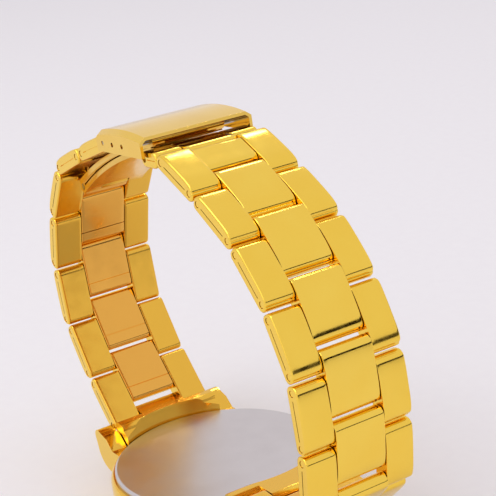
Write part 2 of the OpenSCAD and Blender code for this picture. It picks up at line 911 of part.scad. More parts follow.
case_middle();
bezel();
crystal();
crystal_gasket();
dial();
hour_markers();
hour_hand();
minute_hand();
second_hand();
movement_holder();
movement();
battery();
case_back();
back_gasket();
crown();
crown_stem();
crown_tube();
crown_gasket();
lug_spring_bars();
end_link_12();
end_link_6();
band_12_outer(1);  // band_12_outer_1
band_12_outer(2);  // band_12_outer_2
band_12_outer(3);  // band_12_outer_3
band_12_outer(4);  // band_12_outer_4
band_12_outer(5);  // band_12_outer_5
band_12_outer(6);  // band_12_outer_6
band_12_outer(7);  // band_12_outer_7
band_12_outer(8);  // band_12_outer_8
band_12_centre(1);  // band_12_centre_1
band_12_centre(2);  // band_12_centre_2
band_12_centre(3);  // band_12_centre_3
band_12_centre(4);  // band_12_centre_4
band_12_centre(5);  // band_12_centre_5
band_12_centre(6);  // band_12_centre_6
band_12_centre(7);  // band_12_centre_7
band_12_centre(8);  // band_12_centre_8
band_6_outer(1);  // band_6_outer_1
band_6_outer(2);  // band_6_outer_2
band_6_outer(3);  // band_6_outer_3
band_6_outer(4);  // band_6_outer_4
band_6_outer(5);  // band_6_outer_5
band_6_outer(6);  // band_6_outer_6
band_6_outer(7);  // band_6_outer_7
band_6_centre(1);  // band_6_centre_1
band_6_centre(2);  // band_6_centre_2
band_6_centre(3);  // band_6_centre_3
band_6_centre(4);  // band_6_centre_4
band_6_centre(5);  // band_6_centre_5
band_6_centre(6);  // band_6_centre_6
band_6_centre(7);  // band_6_centre_7
clasp_cover();
clasp_spring_bar();
clasp_blade_outer();
clasp_blade_inner();
cover_hinge_pin();
blade_hinge_pin();
clasp_end_pin();
end_piece_outer();
end_piece_centre();
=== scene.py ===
# %% [markdown]
# # A dress watch on a folded-link bracelet
# The watch stands face down: its glass is on the table, its steel back looks up, and the closed
# bracelet stands over it as a loop with the clasp on top. The CAD model carries every hinge, so
# this script only gives the pieces their finish and swaps the plain solids for rounder ones where
# light shows the difference.

import json
import math

import bmesh
import bpy
from mathutils import Matrix, Vector


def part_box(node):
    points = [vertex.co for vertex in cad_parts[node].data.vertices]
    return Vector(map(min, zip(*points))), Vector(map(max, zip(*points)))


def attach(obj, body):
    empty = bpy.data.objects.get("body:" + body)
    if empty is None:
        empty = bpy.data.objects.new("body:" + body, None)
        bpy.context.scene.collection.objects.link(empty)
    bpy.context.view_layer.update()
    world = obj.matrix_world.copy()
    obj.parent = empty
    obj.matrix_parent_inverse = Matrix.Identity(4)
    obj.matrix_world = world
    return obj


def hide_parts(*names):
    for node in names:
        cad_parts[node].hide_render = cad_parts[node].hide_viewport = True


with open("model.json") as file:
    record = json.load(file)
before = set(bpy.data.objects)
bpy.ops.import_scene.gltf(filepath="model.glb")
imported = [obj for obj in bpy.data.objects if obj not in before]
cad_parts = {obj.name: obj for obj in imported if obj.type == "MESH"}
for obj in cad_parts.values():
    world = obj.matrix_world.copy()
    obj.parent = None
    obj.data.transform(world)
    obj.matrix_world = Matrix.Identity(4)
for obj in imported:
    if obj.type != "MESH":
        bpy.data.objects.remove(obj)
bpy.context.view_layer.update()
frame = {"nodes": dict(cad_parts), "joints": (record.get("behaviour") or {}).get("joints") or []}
joints = {joint["name"]: joint for joint in frame["joints"]}

# %% [markdown]
# ## Camera
# The watch was photographed from close by, a little above it and from the 12 o'clock side of the
# clasp. The camera's place was worked out from the hinge pins that can be seen on the links' sides,
# so here it is set by its three axes. A long lens keeps the perspective of the picture.

# %% Camera
def put_in_scene(name, data):
    """An object with this data, linked to the scene, which is what makes it show."""
    thing = bpy.data.objects.new(name, data)
    bpy.context.collection.objects.link(thing)
    return thing


# The rows are the camera's right, up and backward directions.
camera_axes = Matrix((
    (0.540108, 0.833980, -0.112961),
    (-0.207102, 0.261804, 0.942639),
    (0.815716, -0.485732, 0.314121),
)).transposed().to_4x4()
camera_place = Vector((0.186505, -0.101452, 0.112442))
camera_data = bpy.data.cameras.new("watch_camera")
camera_data.sensor_width = 36
camera_data.lens = 105.75
camera_data.clip_start = 0.01
camera = put_in_scene("watch_camera", camera_data)
camera.matrix_world = Matrix.Translation(camera_place) @ camera_axes
bpy.context.scene.camera = camera
print("camera at", [round(x, 3) for x in camera_place], "lens", camera_data.lens)

# %% [markdown]
# ## Helpers for node trees
# Colours are written as they look on a screen, and one function turns them into the linear numbers
# that shaders use. One more function adds a node, its settings and its links, for materials and for
# geometry. Sockets go by their names, or by their numbers where names repeat: a Mix node's two
# colours are 6 and 7, and a Map Range node's 1 to 4 are the two ends it reads from and the two it
# maps them to. Patterns are placed by a piece's Object coordinates, so each new material starts
# with them.

# %% Colour and node helpers
def linear(hex_colour):
    """The linear red, green, blue and alpha of a colour such as #FFDA5C."""
    parts = [int(hex_colour[i:i + 2], 16) / 255 for i in (1, 3, 5)]
    return [c / 12.92 if c <= 0.04045 else ((c + 0.055) / 1.055) ** 2.4 for c in parts] + [1]


def add_node(tree, kind, inputs=None, **settings):
    """A node with its settings. An input that is a socket becomes a link, and any other a value."""
    node = tree.nodes.new(kind)
    for name, value in settings.items():
        setattr(node, name, value)
    for socket, value in (inputs or {}).items():
        if isinstance(value, bpy.types.NodeSocket):
            tree.links.new(value, node.inputs[socket])
        else:
            node.inputs[socket].default_value = value
    return node


def new_material(name):
    """An empty material, its node tree and its Texture Coordinate outputs."""
    material = bpy.data.materials.new(name)
    material.use_nodes = True
    tree = material.node_tree
    tree.nodes.clear()
    return material, tree, add_node(tree, "ShaderNodeTexCoord").outputs


print("gold as linear numbers:", [round(c, 3) for c in linear("#EDCB58")])

# %% [markdown]
# ## Table and surroundings
# The table top is plain and matt, so it takes the shadow and little else. Polished metal shows
# whatever stands round it, so camera, glossy and see-through rays find a pale backdrop in the
# world, while the light that falls on the watch stays at a plain level. Polished links also show a
# thin dark line near their rolled ends, where they mirror what lies beyond the table's edge. A dark
# strip at the horizon, on the 12 o'clock side and found by glossy rays only, stands for that.

# %% Table top
table_mesh = bpy.data.meshes.new("table_top")
reach = 3
table_corners = [(-reach, -reach, 0), (reach, -reach, 0), (reach, reach, 0), (-reach, reach, 0)]
table_mesh.from_pydata(table_corners, [], [(0, 1, 2, 3)])
table_top = put_in_scene("table_top", table_mesh)

fibre_mm = 2.5
card, tree, here = new_material("matt_white_card")
fibre = add_node(tree, "ShaderNodeTexNoise", {"Vector": here["Object"], "Scale": 1000 / fibre_mm})
tint = add_node(tree, "ShaderNodeMix", {0: fibre.outputs[0], 6: linear("#F3F0F2"),
                                        7: linear("#F0ECEF")}, data_type="RGBA")
shader = add_node(tree, "ShaderNodeBsdfPrincipled", {"Base Color": tint.outputs[2],
                                                     "Roughness": 0.8, "Specular IOR Level": 0.2})
add_node(tree, "ShaderNodeOutputMaterial", {"Surface": shader.outputs[0]})
table_mesh.materials.append(card)
print("table top", [round(x, 2) for x in table_top.dimensions])

# %% Surroundings
# A ray's direction has length 1, so its Z is the sine of its height over the horizon.
strip_height, dark_within, pale_from = 0.025, 0.125, 0.14
side_of_12 = (0.86, 0.51, 0.0)
side_from, side_full = 0.5, 0.8
plain_level = 0.82
world = bpy.data.worlds.new("white_tent")
bpy.context.scene.world = world
world.use_nodes = True
tree = world.node_tree
tree.nodes.clear()
ray = add_node(tree, "ShaderNodeLightPath")
seen = ray.outputs["Is Camera Ray"]
for kind in ("Is Glossy Ray", "Is Transmission Ray"):
    seen = add_node(tree, "ShaderNodeMath", {0: seen, 1: ray.outputs[kind]},
                    operation="MAXIMUM").outputs[0]
light = add_node(tree, "ShaderNodeBackground", {"Color": linear("#F6F4F8"),
                                                "Strength": plain_level})
way = add_node(tree, "ShaderNodeTexCoord").outputs["Generated"]
height = add_node(tree, "ShaderNodeSeparateXYZ", {0: way}).outputs[2]
above = add_node(tree, "ShaderNodeMath", {0: height, 1: strip_height}, operation="SUBTRACT")
above = add_node(tree, "ShaderNodeMath", {0: above.outputs[0]}, operation="ABSOLUTE")
strip = add_node(tree, "ShaderNodeMapRange", {0: above.outputs[0], 1: dark_within, 2: pale_from,
                                              3: 1.0, 4: 0.0})
towards = add_node(tree, "ShaderNodeVectorMath", {0: way, 1: side_of_12}, operation="DOT_PRODUCT")
sector = add_node(tree, "ShaderNodeMapRange", {0: towards.outputs["Value"], 1: side_from,
                                               2: side_full, 3: 0.0, 4: 1.0})
for share in (ray.outputs["Is Glossy Ray"], sector.outputs[0]):
    strip = add_node(tree, "ShaderNodeMath", {0: strip.outputs[0], 1: share}, operation="MULTIPLY")
pale = add_node(tree, "ShaderNodeMix", {0: strip.outputs[0], 6: linear("#EBE7EA"),
                                        7: linear("#140B06")}, data_type="RGBA")
backdrop = add_node(tree, "ShaderNodeBackground", {"Color": pale.outputs[2], "Strength": 1.0})
either = add_node(tree, "ShaderNodeMixShader", {0: seen, 1: light.outputs[0],
                                                2: backdrop.outputs[0]})
add_node(tree, "ShaderNodeOutputWorld", {"Surface": either.outputs[0]})
print("world:", world.name)

# %% [markdown]
# ## Lamps
# Three lamps do the work. The large soft box hangs over the watch, away from the crown, and draws
# the long pale stripe on the clasp. A smaller one stands behind the camera, to the left, and lights
# the sides of the links. The third is a small bright pane high beyond the watch: its reflection is
# the gleam on the links next to the clasp.

# %% Soft boxes
lamp_target = Vector((0, 0, 0.035))


def soft_box(name, place, size, watts):
    """A square area lamp at this place, turned towards the middle of the watch."""
    lamp = bpy.data.lights.new(name, "AREA")
    lamp.shape = "SQUARE"
    lamp.size = size
    lamp.energy = watts
    stand = put_in_scene(name, lamp)
    aim = (lamp_target - Vector(place)).to_track_quat("-Z", "Y")
    stand.matrix_world = Matrix.Translation(place) @ aim.to_matrix().to_4x4()
    return stand


overhead = soft_box("overhead_soft_box", (-0.05, -0.35, 0.75), 0.50, 1.5)
side = soft_box("side_soft_box", (0.15, -0.60, 0.35), 0.40, 0.3)
window = soft_box("window_gleam", (-0.335, 0.34, 0.553), 0.06, 0.14)
print("lamps:", overhead.name, side.name, window.name)

# %% [markdown]
# ## Gold plate
# The links, clasp and case are steel with a hard gold plating, buffed before plating. The eye sees
# a clear reflection that wavers a little, because folded sheet is never quite flat, and hairlines
# from handling. A metal's colour is its reflection, so the gold goes in Base Color with Metallic at
# 1. Waves a few millimetres long go in one Bump node and hairlines in a second. Hairlines run
# across the band, so their noise is stretched twenty times that way. Real ones are finer, and these
# are as coarse as they need to be to show. Only the numbers differ between the finishes, so one
# function makes them all. The faces that look into the loop are not buffed, so they are rougher.
# Their colour is painted a deeper amber, a painted shade for the light that bounces about in the
# loop, and quite brown under the clasp's cover, a painted shadow. A face looks inwards when its
# normal points towards the line through the middle of the loop.

# %% Gold finishes, and the gold of the links
loop_middle, loop_plane = (0.004, 0, 0.034), (1, 0, 1)
turned_in, fully_in, inside_rougher_by = -0.3, -0.6, 0.3
cloud_mm, handled_mm = 6, 2.5
noise_low, noise_high = 0.3, 0.7
cleanest, most_handled = 0.7, 1.4
hairline_high, hairline_stretch = 0.0000015, 20


def gold_plate(name, bright, deep, polish, wave_mm, wave_height_mm, hairline_mm, painted_inside_shade="#F3C04A"):
    """Gold plate: two outer colours, its roughness when polished, its patterns and the painted
    shade of faces that look into the loop.
    """
    material, tree, here = new_material(name)
    place = here["Object"]
    cloud = add_node(tree, "ShaderNodeTexNoise", {"Vector": place, "Scale": 1000 / cloud_mm,
                                                  "Detail": 3})
    colour = add_node(tree, "ShaderNodeMix", {0: cloud.outputs[0], 6: linear(bright),
                                              7: linear(deep)}, data_type="RGBA")
    away = add_node(tree, "ShaderNodeVectorMath", {0: place, 1: loop_middle}, operation="SUBTRACT")
    away = add_node(tree, "ShaderNodeVectorMath", {0: away.outputs[0], 1: loop_plane},
                    operation="MULTIPLY")
    away = add_node(tree, "ShaderNodeVectorMath", {0: away.outputs[0]}, operation="NORMALIZE")
    facing = add_node(tree, "ShaderNodeVectorMath", {0: away.outputs[0], 1: here["Normal"]},
                      operation="DOT_PRODUCT")
    inner = add_node(tree, "ShaderNodeMapRange", {0: facing.outputs["Value"], 1: turned_in,
                                                  2: fully_in, 3: 0.0, 4: 1.0})
    # Faces that look into the loop take the painted inside shade, a painted shade for light bounced
    # about in the loop.
    colour = add_node(tree, "ShaderNodeMix", {0: inner.outputs[0], 6: colour.outputs[2],
                                              7: linear(painted_inside_shade)}, data_type="RGBA")
    handled = add_node(tree, "ShaderNodeTexNoise", {"Vector": place, "Scale": 1000 / handled_mm,
                                                    "Detail": 5})
    gloss = add_node(tree, "ShaderNodeMapRange", {
        0: handled.outputs[0], 1: noise_low, 2: noise_high, 3: polish * cleanest,
        4: polish * most_handled})
    unbuffed = add_node(tree, "ShaderNodeMath", {0: inner.outputs[0], 1: inside_rougher_by, 2: 1.0},
                        operation="MULTIPLY_ADD")
    gloss = add_node(tree, "ShaderNodeMath", {0: gloss.outputs[0], 1: unbuffed.outputs[0]},
                     operation="MULTIPLY")
    wave = add_node(tree, "ShaderNodeTexNoise", {"Vector": place, "Scale": 1000 / wave_mm,
                                                 "Detail": 1})
    waver = add_node(tree, "ShaderNodeBump", {"Height": wave.outputs[0], "Strength": 1.0,
                                              "Distance": wave_height_mm / 1000})
    drawn_out = add_node(tree, "ShaderNodeMapping", {"Vector": place,
                                                     "Scale": (1, 1 / hairline_stretch, 1)})
    buff = add_node(tree, "ShaderNodeTexNoise", {"Vector": drawn_out.outputs[0],
                                                 "Scale": 1000 / hairline_mm, "Detail": 2})
    hair = add_node(tree, "ShaderNodeBump", {"Height": buff.outputs[0], "Strength": 1.0,
                                             "Distance": hairline_high, "Normal": waver.outputs[0]})
    shader = add_node(tree, "ShaderNodeBsdfPrincipled", {
        "Base Color": colour.outputs[2], "Metallic": 1.0, "Roughness": gloss.outputs[0],
        "Normal": hair.outputs[0]})
    add_node(tree, "ShaderNodeOutputMaterial", {"Surface": shader.outputs[0]})
    print("finish:", name)
    return material


# The last colour given to a finish, or the default one, is painted shade on the faces that look
# into the loop.
outer_gold = gold_plate("buffed_gold_plate_outer_links", "#FFDA5C", "#FBD04E",
                        polish=0.14, wave_mm=3.0, wave_height_mm=0.012, hairline_mm=0.25)
centre_gold = gold_plate("polished_gold_plate_centre_links", "#FFDC60", "#FCD252",
                         polish=0.11, wave_mm=4.0, wave_height_mm=0.008, hairline_mm=0.25,
                         painted_inside_shade="#F1B552")

# %% Gold of case, clasp, blades and dial
case_gold = gold_plate("polished_gold_plate_case", "#FDD85C", "#F6CB4C",
                       polish=0.09, wave_mm=7.0, wave_height_mm=0.01, hairline_mm=0.30)
# The clasp's brown inside colour is the painted shadow under its cover.
clasp_gold = gold_plate("buffed_gold_plate_pressed_clasp", "#FCD76C", "#F4C956",
                        polish=0.10, wave_mm=5.0, wave_height_mm=0.02, hairline_mm=0.20,
                        painted_inside_shade="#99602F")
blade_gold = gold_plate("rolled_gold_plate_strip_blades", "#F3CC62", "#E6BA4E",
                        polish=0.15, wave_mm=4.0, wave_height_mm=0.02, hairline_mm=0.15)
dial_gold = gold_plate("diamond_cut_gold_plate_dial_parts", "#F2D678", "#E9C561",
                       polish=0.06, wave_mm=3.0, wave_height_mm=0.01, hairline_mm=0.30)

# %% [markdown]
# ## Steel
# The snap-on back is stainless steel, turned on a lathe and left satin, so fine circles run round
# its middle and light fans out across them. The distance from the case's middle drives the circles,
# at 0.12 mm apart. The pins, spring bars and battery are plain drawn or pressed steel with a fine
# grain, and the nickel-plated brass of the movement differs from them in its numbers only.

# %% Satin steel back
ring_mm, ring_high, smudge_mm = 0.12, 0.000001, 5
satin_low, satin_high = 0.30, 0.38
back_steel, tree, here = new_material("satin_turned_stainless_steel_back")
place = here["Object"]
flat = add_node(tree, "ShaderNodeVectorMath", {0: place, 1: (1, 1, 0)}, operation="MULTIPLY")
radius = add_node(tree, "ShaderNodeVectorMath", {0: flat.outputs[0]}, operation="LENGTH")
rings = add_node(tree, "ShaderNodeTexNoise", {"W": radius.outputs["Value"], "Scale": 1000 / ring_mm,
                                              "Detail": 2}, noise_dimensions="1D")
smudge = add_node(tree, "ShaderNodeTexNoise", {"Vector": place, "Scale": 1000 / smudge_mm,
                                               "Detail": 4})
satin = add_node(tree, "ShaderNodeMapRange", {0: smudge.outputs[0], 1: noise_low, 2: noise_high,
                                              3: satin_low, 4: satin_high})
tone = add_node(tree, "ShaderNodeMix", {0: smudge.outputs[0], 6: linear("#D6D1D1"),
                                        7: linear("#CCC7C8")}, data_type="RGBA")
turned = add_node(tree, "ShaderNodeBump", {"Height": rings.outputs[0], "Distance": ring_high})
shader = add_node(tree, "ShaderNodeBsdfPrincipled", {
    "Base Color": tone.outputs[2], "Metallic": 1.0, "Roughness": satin.outputs[0],
    "Normal": turned.outputs[0]})
add_node(tree, "ShaderNodeOutputMaterial", {"Surface": shader.outputs[0]})
print("finish:", back_steel.name)

# %% Drawn and pressed steel
grain_high = 0.000003
smoothest, roughest = 0.7, 1.3


def drawn_steel(name, bright, dark, polish, grain_mm):
    """Plain grained metal: two colours, its middle roughness and the size of its grain."""
    material, tree, here = new_material(name)
    place = here["Object"]
    grain = add_node(tree, "ShaderNodeTexNoise", {"Vector": place, "Scale": 1000 / grain_mm,
                                                  "Detail": 4})
    tone = add_node(tree, "ShaderNodeMix", {0: grain.outputs[0], 6: linear(bright),
                                            7: linear(dark)}, data_type="RGBA")
    gloss = add_node(tree, "ShaderNodeMapRange", {0: grain.outputs[0], 3: polish * smoothest,
                                                  4: polish * roughest})
    marks = add_node(tree, "ShaderNodeBump", {"Height": grain.outputs[0], "Distance": grain_high})
    shader = add_node(tree, "ShaderNodeBsdfPrincipled", {
        "Base Color": tone.outputs[2], "Metallic": 1.0, "Roughness": gloss.outputs[0],
        "Normal": marks.outputs[0]})
    add_node(tree, "ShaderNodeOutputMaterial", {"Surface": shader.outputs[0]})
    return material


pin_steel = drawn_steel("drawn_stainless_steel_pins", "#B9B4AE", "#9A948C",
                        polish=0.25, grain_mm=0.4)
battery_steel = drawn_steel("pressed_stainless_steel_battery", "#D2D1D3", "#C2C1C4",
                            polish=0.18, grain_mm=1.5)
movement_brass = drawn_steel("nickel_plated_brass_movement_plate", "#CFC9B4", "#B9B094",
                             polish=0.28, grain_mm=0.8)
print("steel:", pin_steel.name, battery_steel.name, movement_brass.name)

# %% [markdown]
# ## Glass, dial, plastic and rubber
# The glass is flat mineral glass, clear with the faint green of its iron. The dial is lacquer over
# a plate brushed outwards from its middle, a sunray finish: the brushing turns with the angle round
# the middle, so noise is read from that angle alone. The crystal's gasket is moulded nylon, the
# movement's holder is acetal and the other gaskets are rubber. All three come from a mould with a
# skin of fine dimples.

# %% Glass and dial
lap_mm, lap_roughness = 4, 0.03
strokes_per_radian, stroke_high = 90, 0.00001
mineral_glass, tree, here = new_material("polished_mineral_glass_crystal")
polish = add_node(tree, "ShaderNodeTexNoise", {"Vector": here["Object"], "Scale": 1000 / lap_mm,
                                               "Detail": 3})
gloss = add_node(tree, "ShaderNodeMapRange", {0: polish.outputs[0], 3: 0.0, 4: lap_roughness})
shader = add_node(tree, "ShaderNodeBsdfPrincipled", {
    "Base Color": linear("#F7FCFA"), "Roughness": gloss.outputs[0], "IOR": 1.52,
    "Transmission Weight": 1.0})
add_node(tree, "ShaderNodeOutputMaterial", {"Surface": shader.outputs[0]})

sunray_lacquer, tree, here = new_material("sunray_brushed_champagne_lacquer_dial")
spot = add_node(tree, "ShaderNodeSeparateXYZ", {0: here["Object"]})
angle = add_node(tree, "ShaderNodeMath", {0: spot.outputs[1], 1: spot.outputs[0]},
                 operation="ARCTAN2")
strokes = add_node(tree, "ShaderNodeTexNoise", {"W": angle.outputs[0], "Scale": strokes_per_radian,
                                                "Detail": 3}, noise_dimensions="1D")
tone = add_node(tree, "ShaderNodeMix", {0: strokes.outputs[0], 6: linear("#F3E9CF"),
                                        7: linear("#E2D0A2")}, data_type="RGBA")
brushed = add_node(tree, "ShaderNodeBump", {"Height": strokes.outputs[0], "Distance": stroke_high})
shader = add_node(tree, "ShaderNodeBsdfPrincipled", {
    "Base Color": tone.outputs[2], "Metallic": 0.35, "Roughness": 0.35, "Coat Weight": 0.6,
    "Coat Roughness": 0.05, "Normal": brushed.outputs[0]})
add_node(tree, "ShaderNodeOutputMaterial", {"Surface": shader.outputs[0]})
print("finishes:", mineral_glass.name, sunray_lacquer.name)

# %% Moulded plastic and rubber
skin_mm, dimple_high = 0.3, 0.00001


def moulded(name, light, dark, shine, clear=0.0):
    """Plastic, rubber or ink: two colours, its roughness and how clear it is."""
    material, tree, here = new_material(name)
    place = here["Object"]
    skin = add_node(tree, "ShaderNodeTexNoise", {"Vector": place, "Scale": 1000 / skin_mm,
                                                 "Detail": 3})
    tone = add_node(tree, "ShaderNodeMix", {0: skin.outputs[0], 6: linear(light),
                                            7: linear(dark)}, data_type="RGBA")
    dimples = add_node(tree, "ShaderNodeBump", {"Height": skin.outputs[0], "Distance": dimple_high})
    shader = add_node(tree, "ShaderNodeBsdfPrincipled", {
        "Base Color": tone.outputs[2], "Roughness": shine, "IOR": 1.5, "Transmission Weight": clear,
        "Normal": dimples.outputs[0]})
    add_node(tree, "ShaderNodeOutputMaterial", {"Surface": shader.outputs[0]})
    return material


clear_nylon = moulded("moulded_clear_nylon_gasket", "#EFEFEA", "#E4E4DE", shine=0.3, clear=0.6)
grey_acetal = moulded("moulded_grey_acetal_movement_holder", "#D4D4D2", "#C6C6C4", shine=0.45)
black_rubber = moulded("moulded_black_nitrile_rubber_gasket", "#1C1C1C", "#262626", shine=0.6)
print("moulded:", clear_nylon.name, grey_acetal.name, black_rubber.name)

# %% [markdown]
# ## Where each hinge sits
# Each row of the band turns on its own pin, and the CAD record gives every pin's place. A row's
# direction is the line to the next pin, so nothing is typed twice. The last pin of the 12 o'clock
# half belongs to the end piece, which lies along the clasp's cover. The cover leans by the
# direction from its spring bar to its hinge pin, less the angle that the two pins already have in a
# level cover.

# %% Pins and rows
rows_12, rows_6 = 8, 7
cover_pin_mm = (8.65, 0.35)
end_piece_long = 0.005


def pin(name):
    """Where a joint's pin crosses the band's middle."""
    x, _, z = joints[name]["pos_m"]
    return Vector((x, 0, z))


pins_12 = [pin(f"link_12_{i}_hinge") for i in range(1, rows_12 + 1)]
pins_6 = [pin(f"link_6_{i}_hinge") for i in range(1, rows_6 + 1)]
spring_bar = pin("cover_lift")
cover_pin = pin("clasp_open")
cover_way = (cover_pin - spring_bar).normalized()
cover_turn = math.atan2(cover_way.z, cover_way.x) - math.atan2(cover_pin_mm[1], cover_pin_mm[0])
along_cover = Vector((math.cos(cover_turn), 0, math.sin(cover_turn)))
loop_pin = pin("end_piece_turn") + end_piece_long * along_cover
pins_12.append(loop_pin)
pins_6.append(spring_bar)
print("cover leans", round(math.degrees(cover_turn), 2), "degrees; last pin at",
      [round(x * 1000, 2) for x in loop_pin])

# %% [markdown]
# ## A rolled block
# Each link is a strip folded round its pins, so its two ends are rolled and its long outer edge is
# rounded. A bevelled cube would crease where two roundings meet. Here a rule does it instead: every
# point of a finely divided cube is pushed out to the rounded shape. Across the length and thickness
# a point keeps its distance from a smaller core, and near the long edge that distance shrinks along
# a quarter circle.

# %% Rolled block: inputs and grid
block = bpy.data.node_groups.new("rolled_block", "GeometryNodeTree")
block_sizes = ("Start", "End", "Inner face", "Outer face", "Thickness", "End roll", "Outer edge",
               "Inner edge", "Crown")
for name in block_sizes:
    block.interface.new_socket(name=name, in_out="INPUT", socket_type="NodeSocketFloat")
block.interface.new_socket(name="Block", in_out="OUTPUT", socket_type="NodeSocketGeometry")
size = add_node(block, "NodeGroupInput").outputs
cube = add_node(block, "GeometryNodeMeshCube", {"Size": (1, 1, 1), "Vertices X": 37,
                                                "Vertices Y": 17, "Vertices Z": 13})
position = add_node(block, "GeometryNodeInputPosition")
grid = add_node(block, "ShaderNodeSeparateXYZ", {0: position.outputs[0]})
print("rolled block takes", ", ".join(block_sizes))

# %% Rolled block: across the band
# Along Y: a flat middle, then a quarter circle at each face. The cube runs from -0.5 to 0.5.
outer_from, inner_from = 0.15, -0.35
quarter_turn = math.pi / 2
outer_turn = add_node(block, "ShaderNodeMapRange", {0: grid.outputs[1], 1: outer_from, 2: 0.5,
                                                    3: 0.0, 4: quarter_turn})
inner_turn = add_node(block, "ShaderNodeMapRange", {0: grid.outputs[1], 1: inner_from, 2: -0.5,
                                                    3: 0.0, 4: quarter_turn})
flat_from = add_node(block, "ShaderNodeMath", {0: size["Inner face"], 1: size["Inner edge"]},
                     operation="ADD")
flat_to = add_node(block, "ShaderNodeMath", {0: size["Outer face"], 1: size["Outer edge"]},
                   operation="SUBTRACT")
flat = add_node(block, "ShaderNodeMapRange", {0: grid.outputs[1], 1: inner_from, 2: outer_from,
                                              3: flat_from.outputs[0], 4: flat_to.outputs[0]})
across = flat.outputs[0]
inset = None
for turn, edge, way in ((outer_turn, "Outer edge", "ADD"), (inner_turn, "Inner edge", "SUBTRACT")):
    reach = add_node(block, "ShaderNodeMath", {0: turn.outputs[0]}, operation="SINE")
    reach = add_node(block, "ShaderNodeMath", {0: reach.outputs[0], 1: size[edge]},
                     operation="MULTIPLY")
    across = add_node(block, "ShaderNodeMath", {0: across, 1: reach.outputs[0]},
                      operation=way).outputs[0]
    drop = add_node(block, "ShaderNodeMath", {0: turn.outputs[0]}, operation="COSINE")
    drop = add_node(block, "ShaderNodeMath", {0: 1.0, 1: drop.outputs[0]}, operation="SUBTRACT")
    drop = add_node(block, "ShaderNodeMath", {0: drop.outputs[0], 1: size[edge]},
                    operation="MULTIPLY")
    inset = drop.outputs[0] if inset is None else add_node(
        block, "ShaderNodeMath", {0: inset, 1: drop.outputs[0]}, operation="ADD").outputs[0]
print("across:", len(block.nodes), "nodes so far")

# %% Rolled block: along and through
# Along X and Z: points crowd towards the ends, where the roll needs them.
length = add_node(block, "ShaderNodeMath", {0: size["End"], 1: size["Start"]}, operation="SUBTRACT")
spread = []
for axis, span in ((0, length.outputs[0]), (2, size["Thickness"])):
    bend = add_node(block, "ShaderNodeMath", {0: grid.outputs[axis], 1: math.pi},
                    operation="MULTIPLY")
    bend = add_node(block, "ShaderNodeMath", {0: bend.outputs[0]}, operation="SINE")
    half = add_node(block, "ShaderNodeMath", {0: bend.outputs[0], 1: 0.5}, operation="MULTIPLY")
    spread.append(add_node(block, "ShaderNodeMath", {0: half.outputs[0], 1: span},
                           operation="MULTIPLY"))
print("spread:", len(block.nodes), "nodes so far")

# %% Rolled block: rolled ends
# The core is the block less its rolls. Each point is held inside the core, and what sticks out of
# it is pulled from a square onto a circle, which gets smaller near the long edges.
least = 1e-9
point = add_node(block, "ShaderNodeCombineXYZ", {0: spread[0].outputs[0], 2: spread[1].outputs[0]})
whole = add_node(block, "ShaderNodeCombineXYZ", {0: length.outputs[0], 2: size["Thickness"]})
rolls = add_node(block, "ShaderNodeCombineXYZ", {0: size["End roll"], 2: size["End roll"]})
half = add_node(block, "ShaderNodeVectorMath", {0: whole.outputs[0], "Scale": 0.5},
                operation="SCALE")
core = add_node(block, "ShaderNodeVectorMath", {0: half.outputs[0], 1: rolls.outputs[0]},
                operation="SUBTRACT")
low = add_node(block, "ShaderNodeVectorMath", {0: core.outputs[0], "Scale": -1.0},
               operation="SCALE")
held = add_node(block, "ShaderNodeVectorMath", {0: point.outputs[0], 1: low.outputs[0]},
                operation="MAXIMUM")
held = add_node(block, "ShaderNodeVectorMath", {0: held.outputs[0], 1: core.outputs[0]},
                operation="MINIMUM")
out = add_node(block, "ShaderNodeVectorMath", {0: point.outputs[0], 1: held.outputs[0]},
               operation="SUBTRACT")
out_length = add_node(block, "ShaderNodeVectorMath", {0: out.outputs[0]}, operation="LENGTH")
out_length = add_node(block, "ShaderNodeMath", {0: out_length.outputs["Value"], 1: least},
                      operation="MAXIMUM")
sides = add_node(block, "ShaderNodeVectorMath", {0: out.outputs[0]}, operation="ABSOLUTE")
sides = add_node(block, "ShaderNodeSeparateXYZ", {0: sides.outputs[0]})
square = add_node(block, "ShaderNodeMath", {0: sides.outputs[0], 1: sides.outputs[2]},
                  operation="MAXIMUM")
rounder = add_node(block, "ShaderNodeMath", {0: square.outputs[0], 1: out_length.outputs[0]},
                   operation="DIVIDE")
part = add_node(block, "ShaderNodeMath", {0: inset, 1: size["End roll"]}, operation="DIVIDE")
left = add_node(block, "ShaderNodeMath", {0: 1.0, 1: part.outputs[0]}, operation="SUBTRACT")
factor = add_node(block, "ShaderNodeMath", {0: rounder.outputs[0], 1: left.outputs[0]},
                  operation="MULTIPLY")
out = add_node(block, "ShaderNodeVectorMath", {0: out.outputs[0], "Scale": factor.outputs[0]},
               operation="SCALE")
print("rolled:", len(block.nodes), "nodes so far")

# %% Rolled block: press bend and result
# A press bends the outer sheet: its middle stands proud of its ends by the crown, and nearly all of
# the bend is near the ends, more at the first end. With u from -1 to 1 along the block and t from 0
# at the inner face to 1 at the outer face, a point goes inwards by crown t (u^4 (1 - 0.35 u) -
# 0.4). Here u is twice the share of the length, so 0.35 is doubled.
first_end_more, middle_out = 0.35, 0.4
away = add_node(block, "ShaderNodeMath", {0: spread[0].outputs[0], 1: length.outputs[0]},
                operation="DIVIDE")
u_squared = add_node(block, "ShaderNodeMath", {0: away.outputs[0], 1: away.outputs[0]},
                     operation="MULTIPLY")
u_squared = add_node(block, "ShaderNodeMath", {0: u_squared.outputs[0], 1: 4.0},
                     operation="MULTIPLY")
u_fourth = add_node(block, "ShaderNodeMath", {0: u_squared.outputs[0], 1: u_squared.outputs[0]},
                    operation="MULTIPLY")
first_more = add_node(block, "ShaderNodeMath", {0: away.outputs[0], 1: -2 * first_end_more, 2: 1.0},
                      operation="MULTIPLY_ADD")
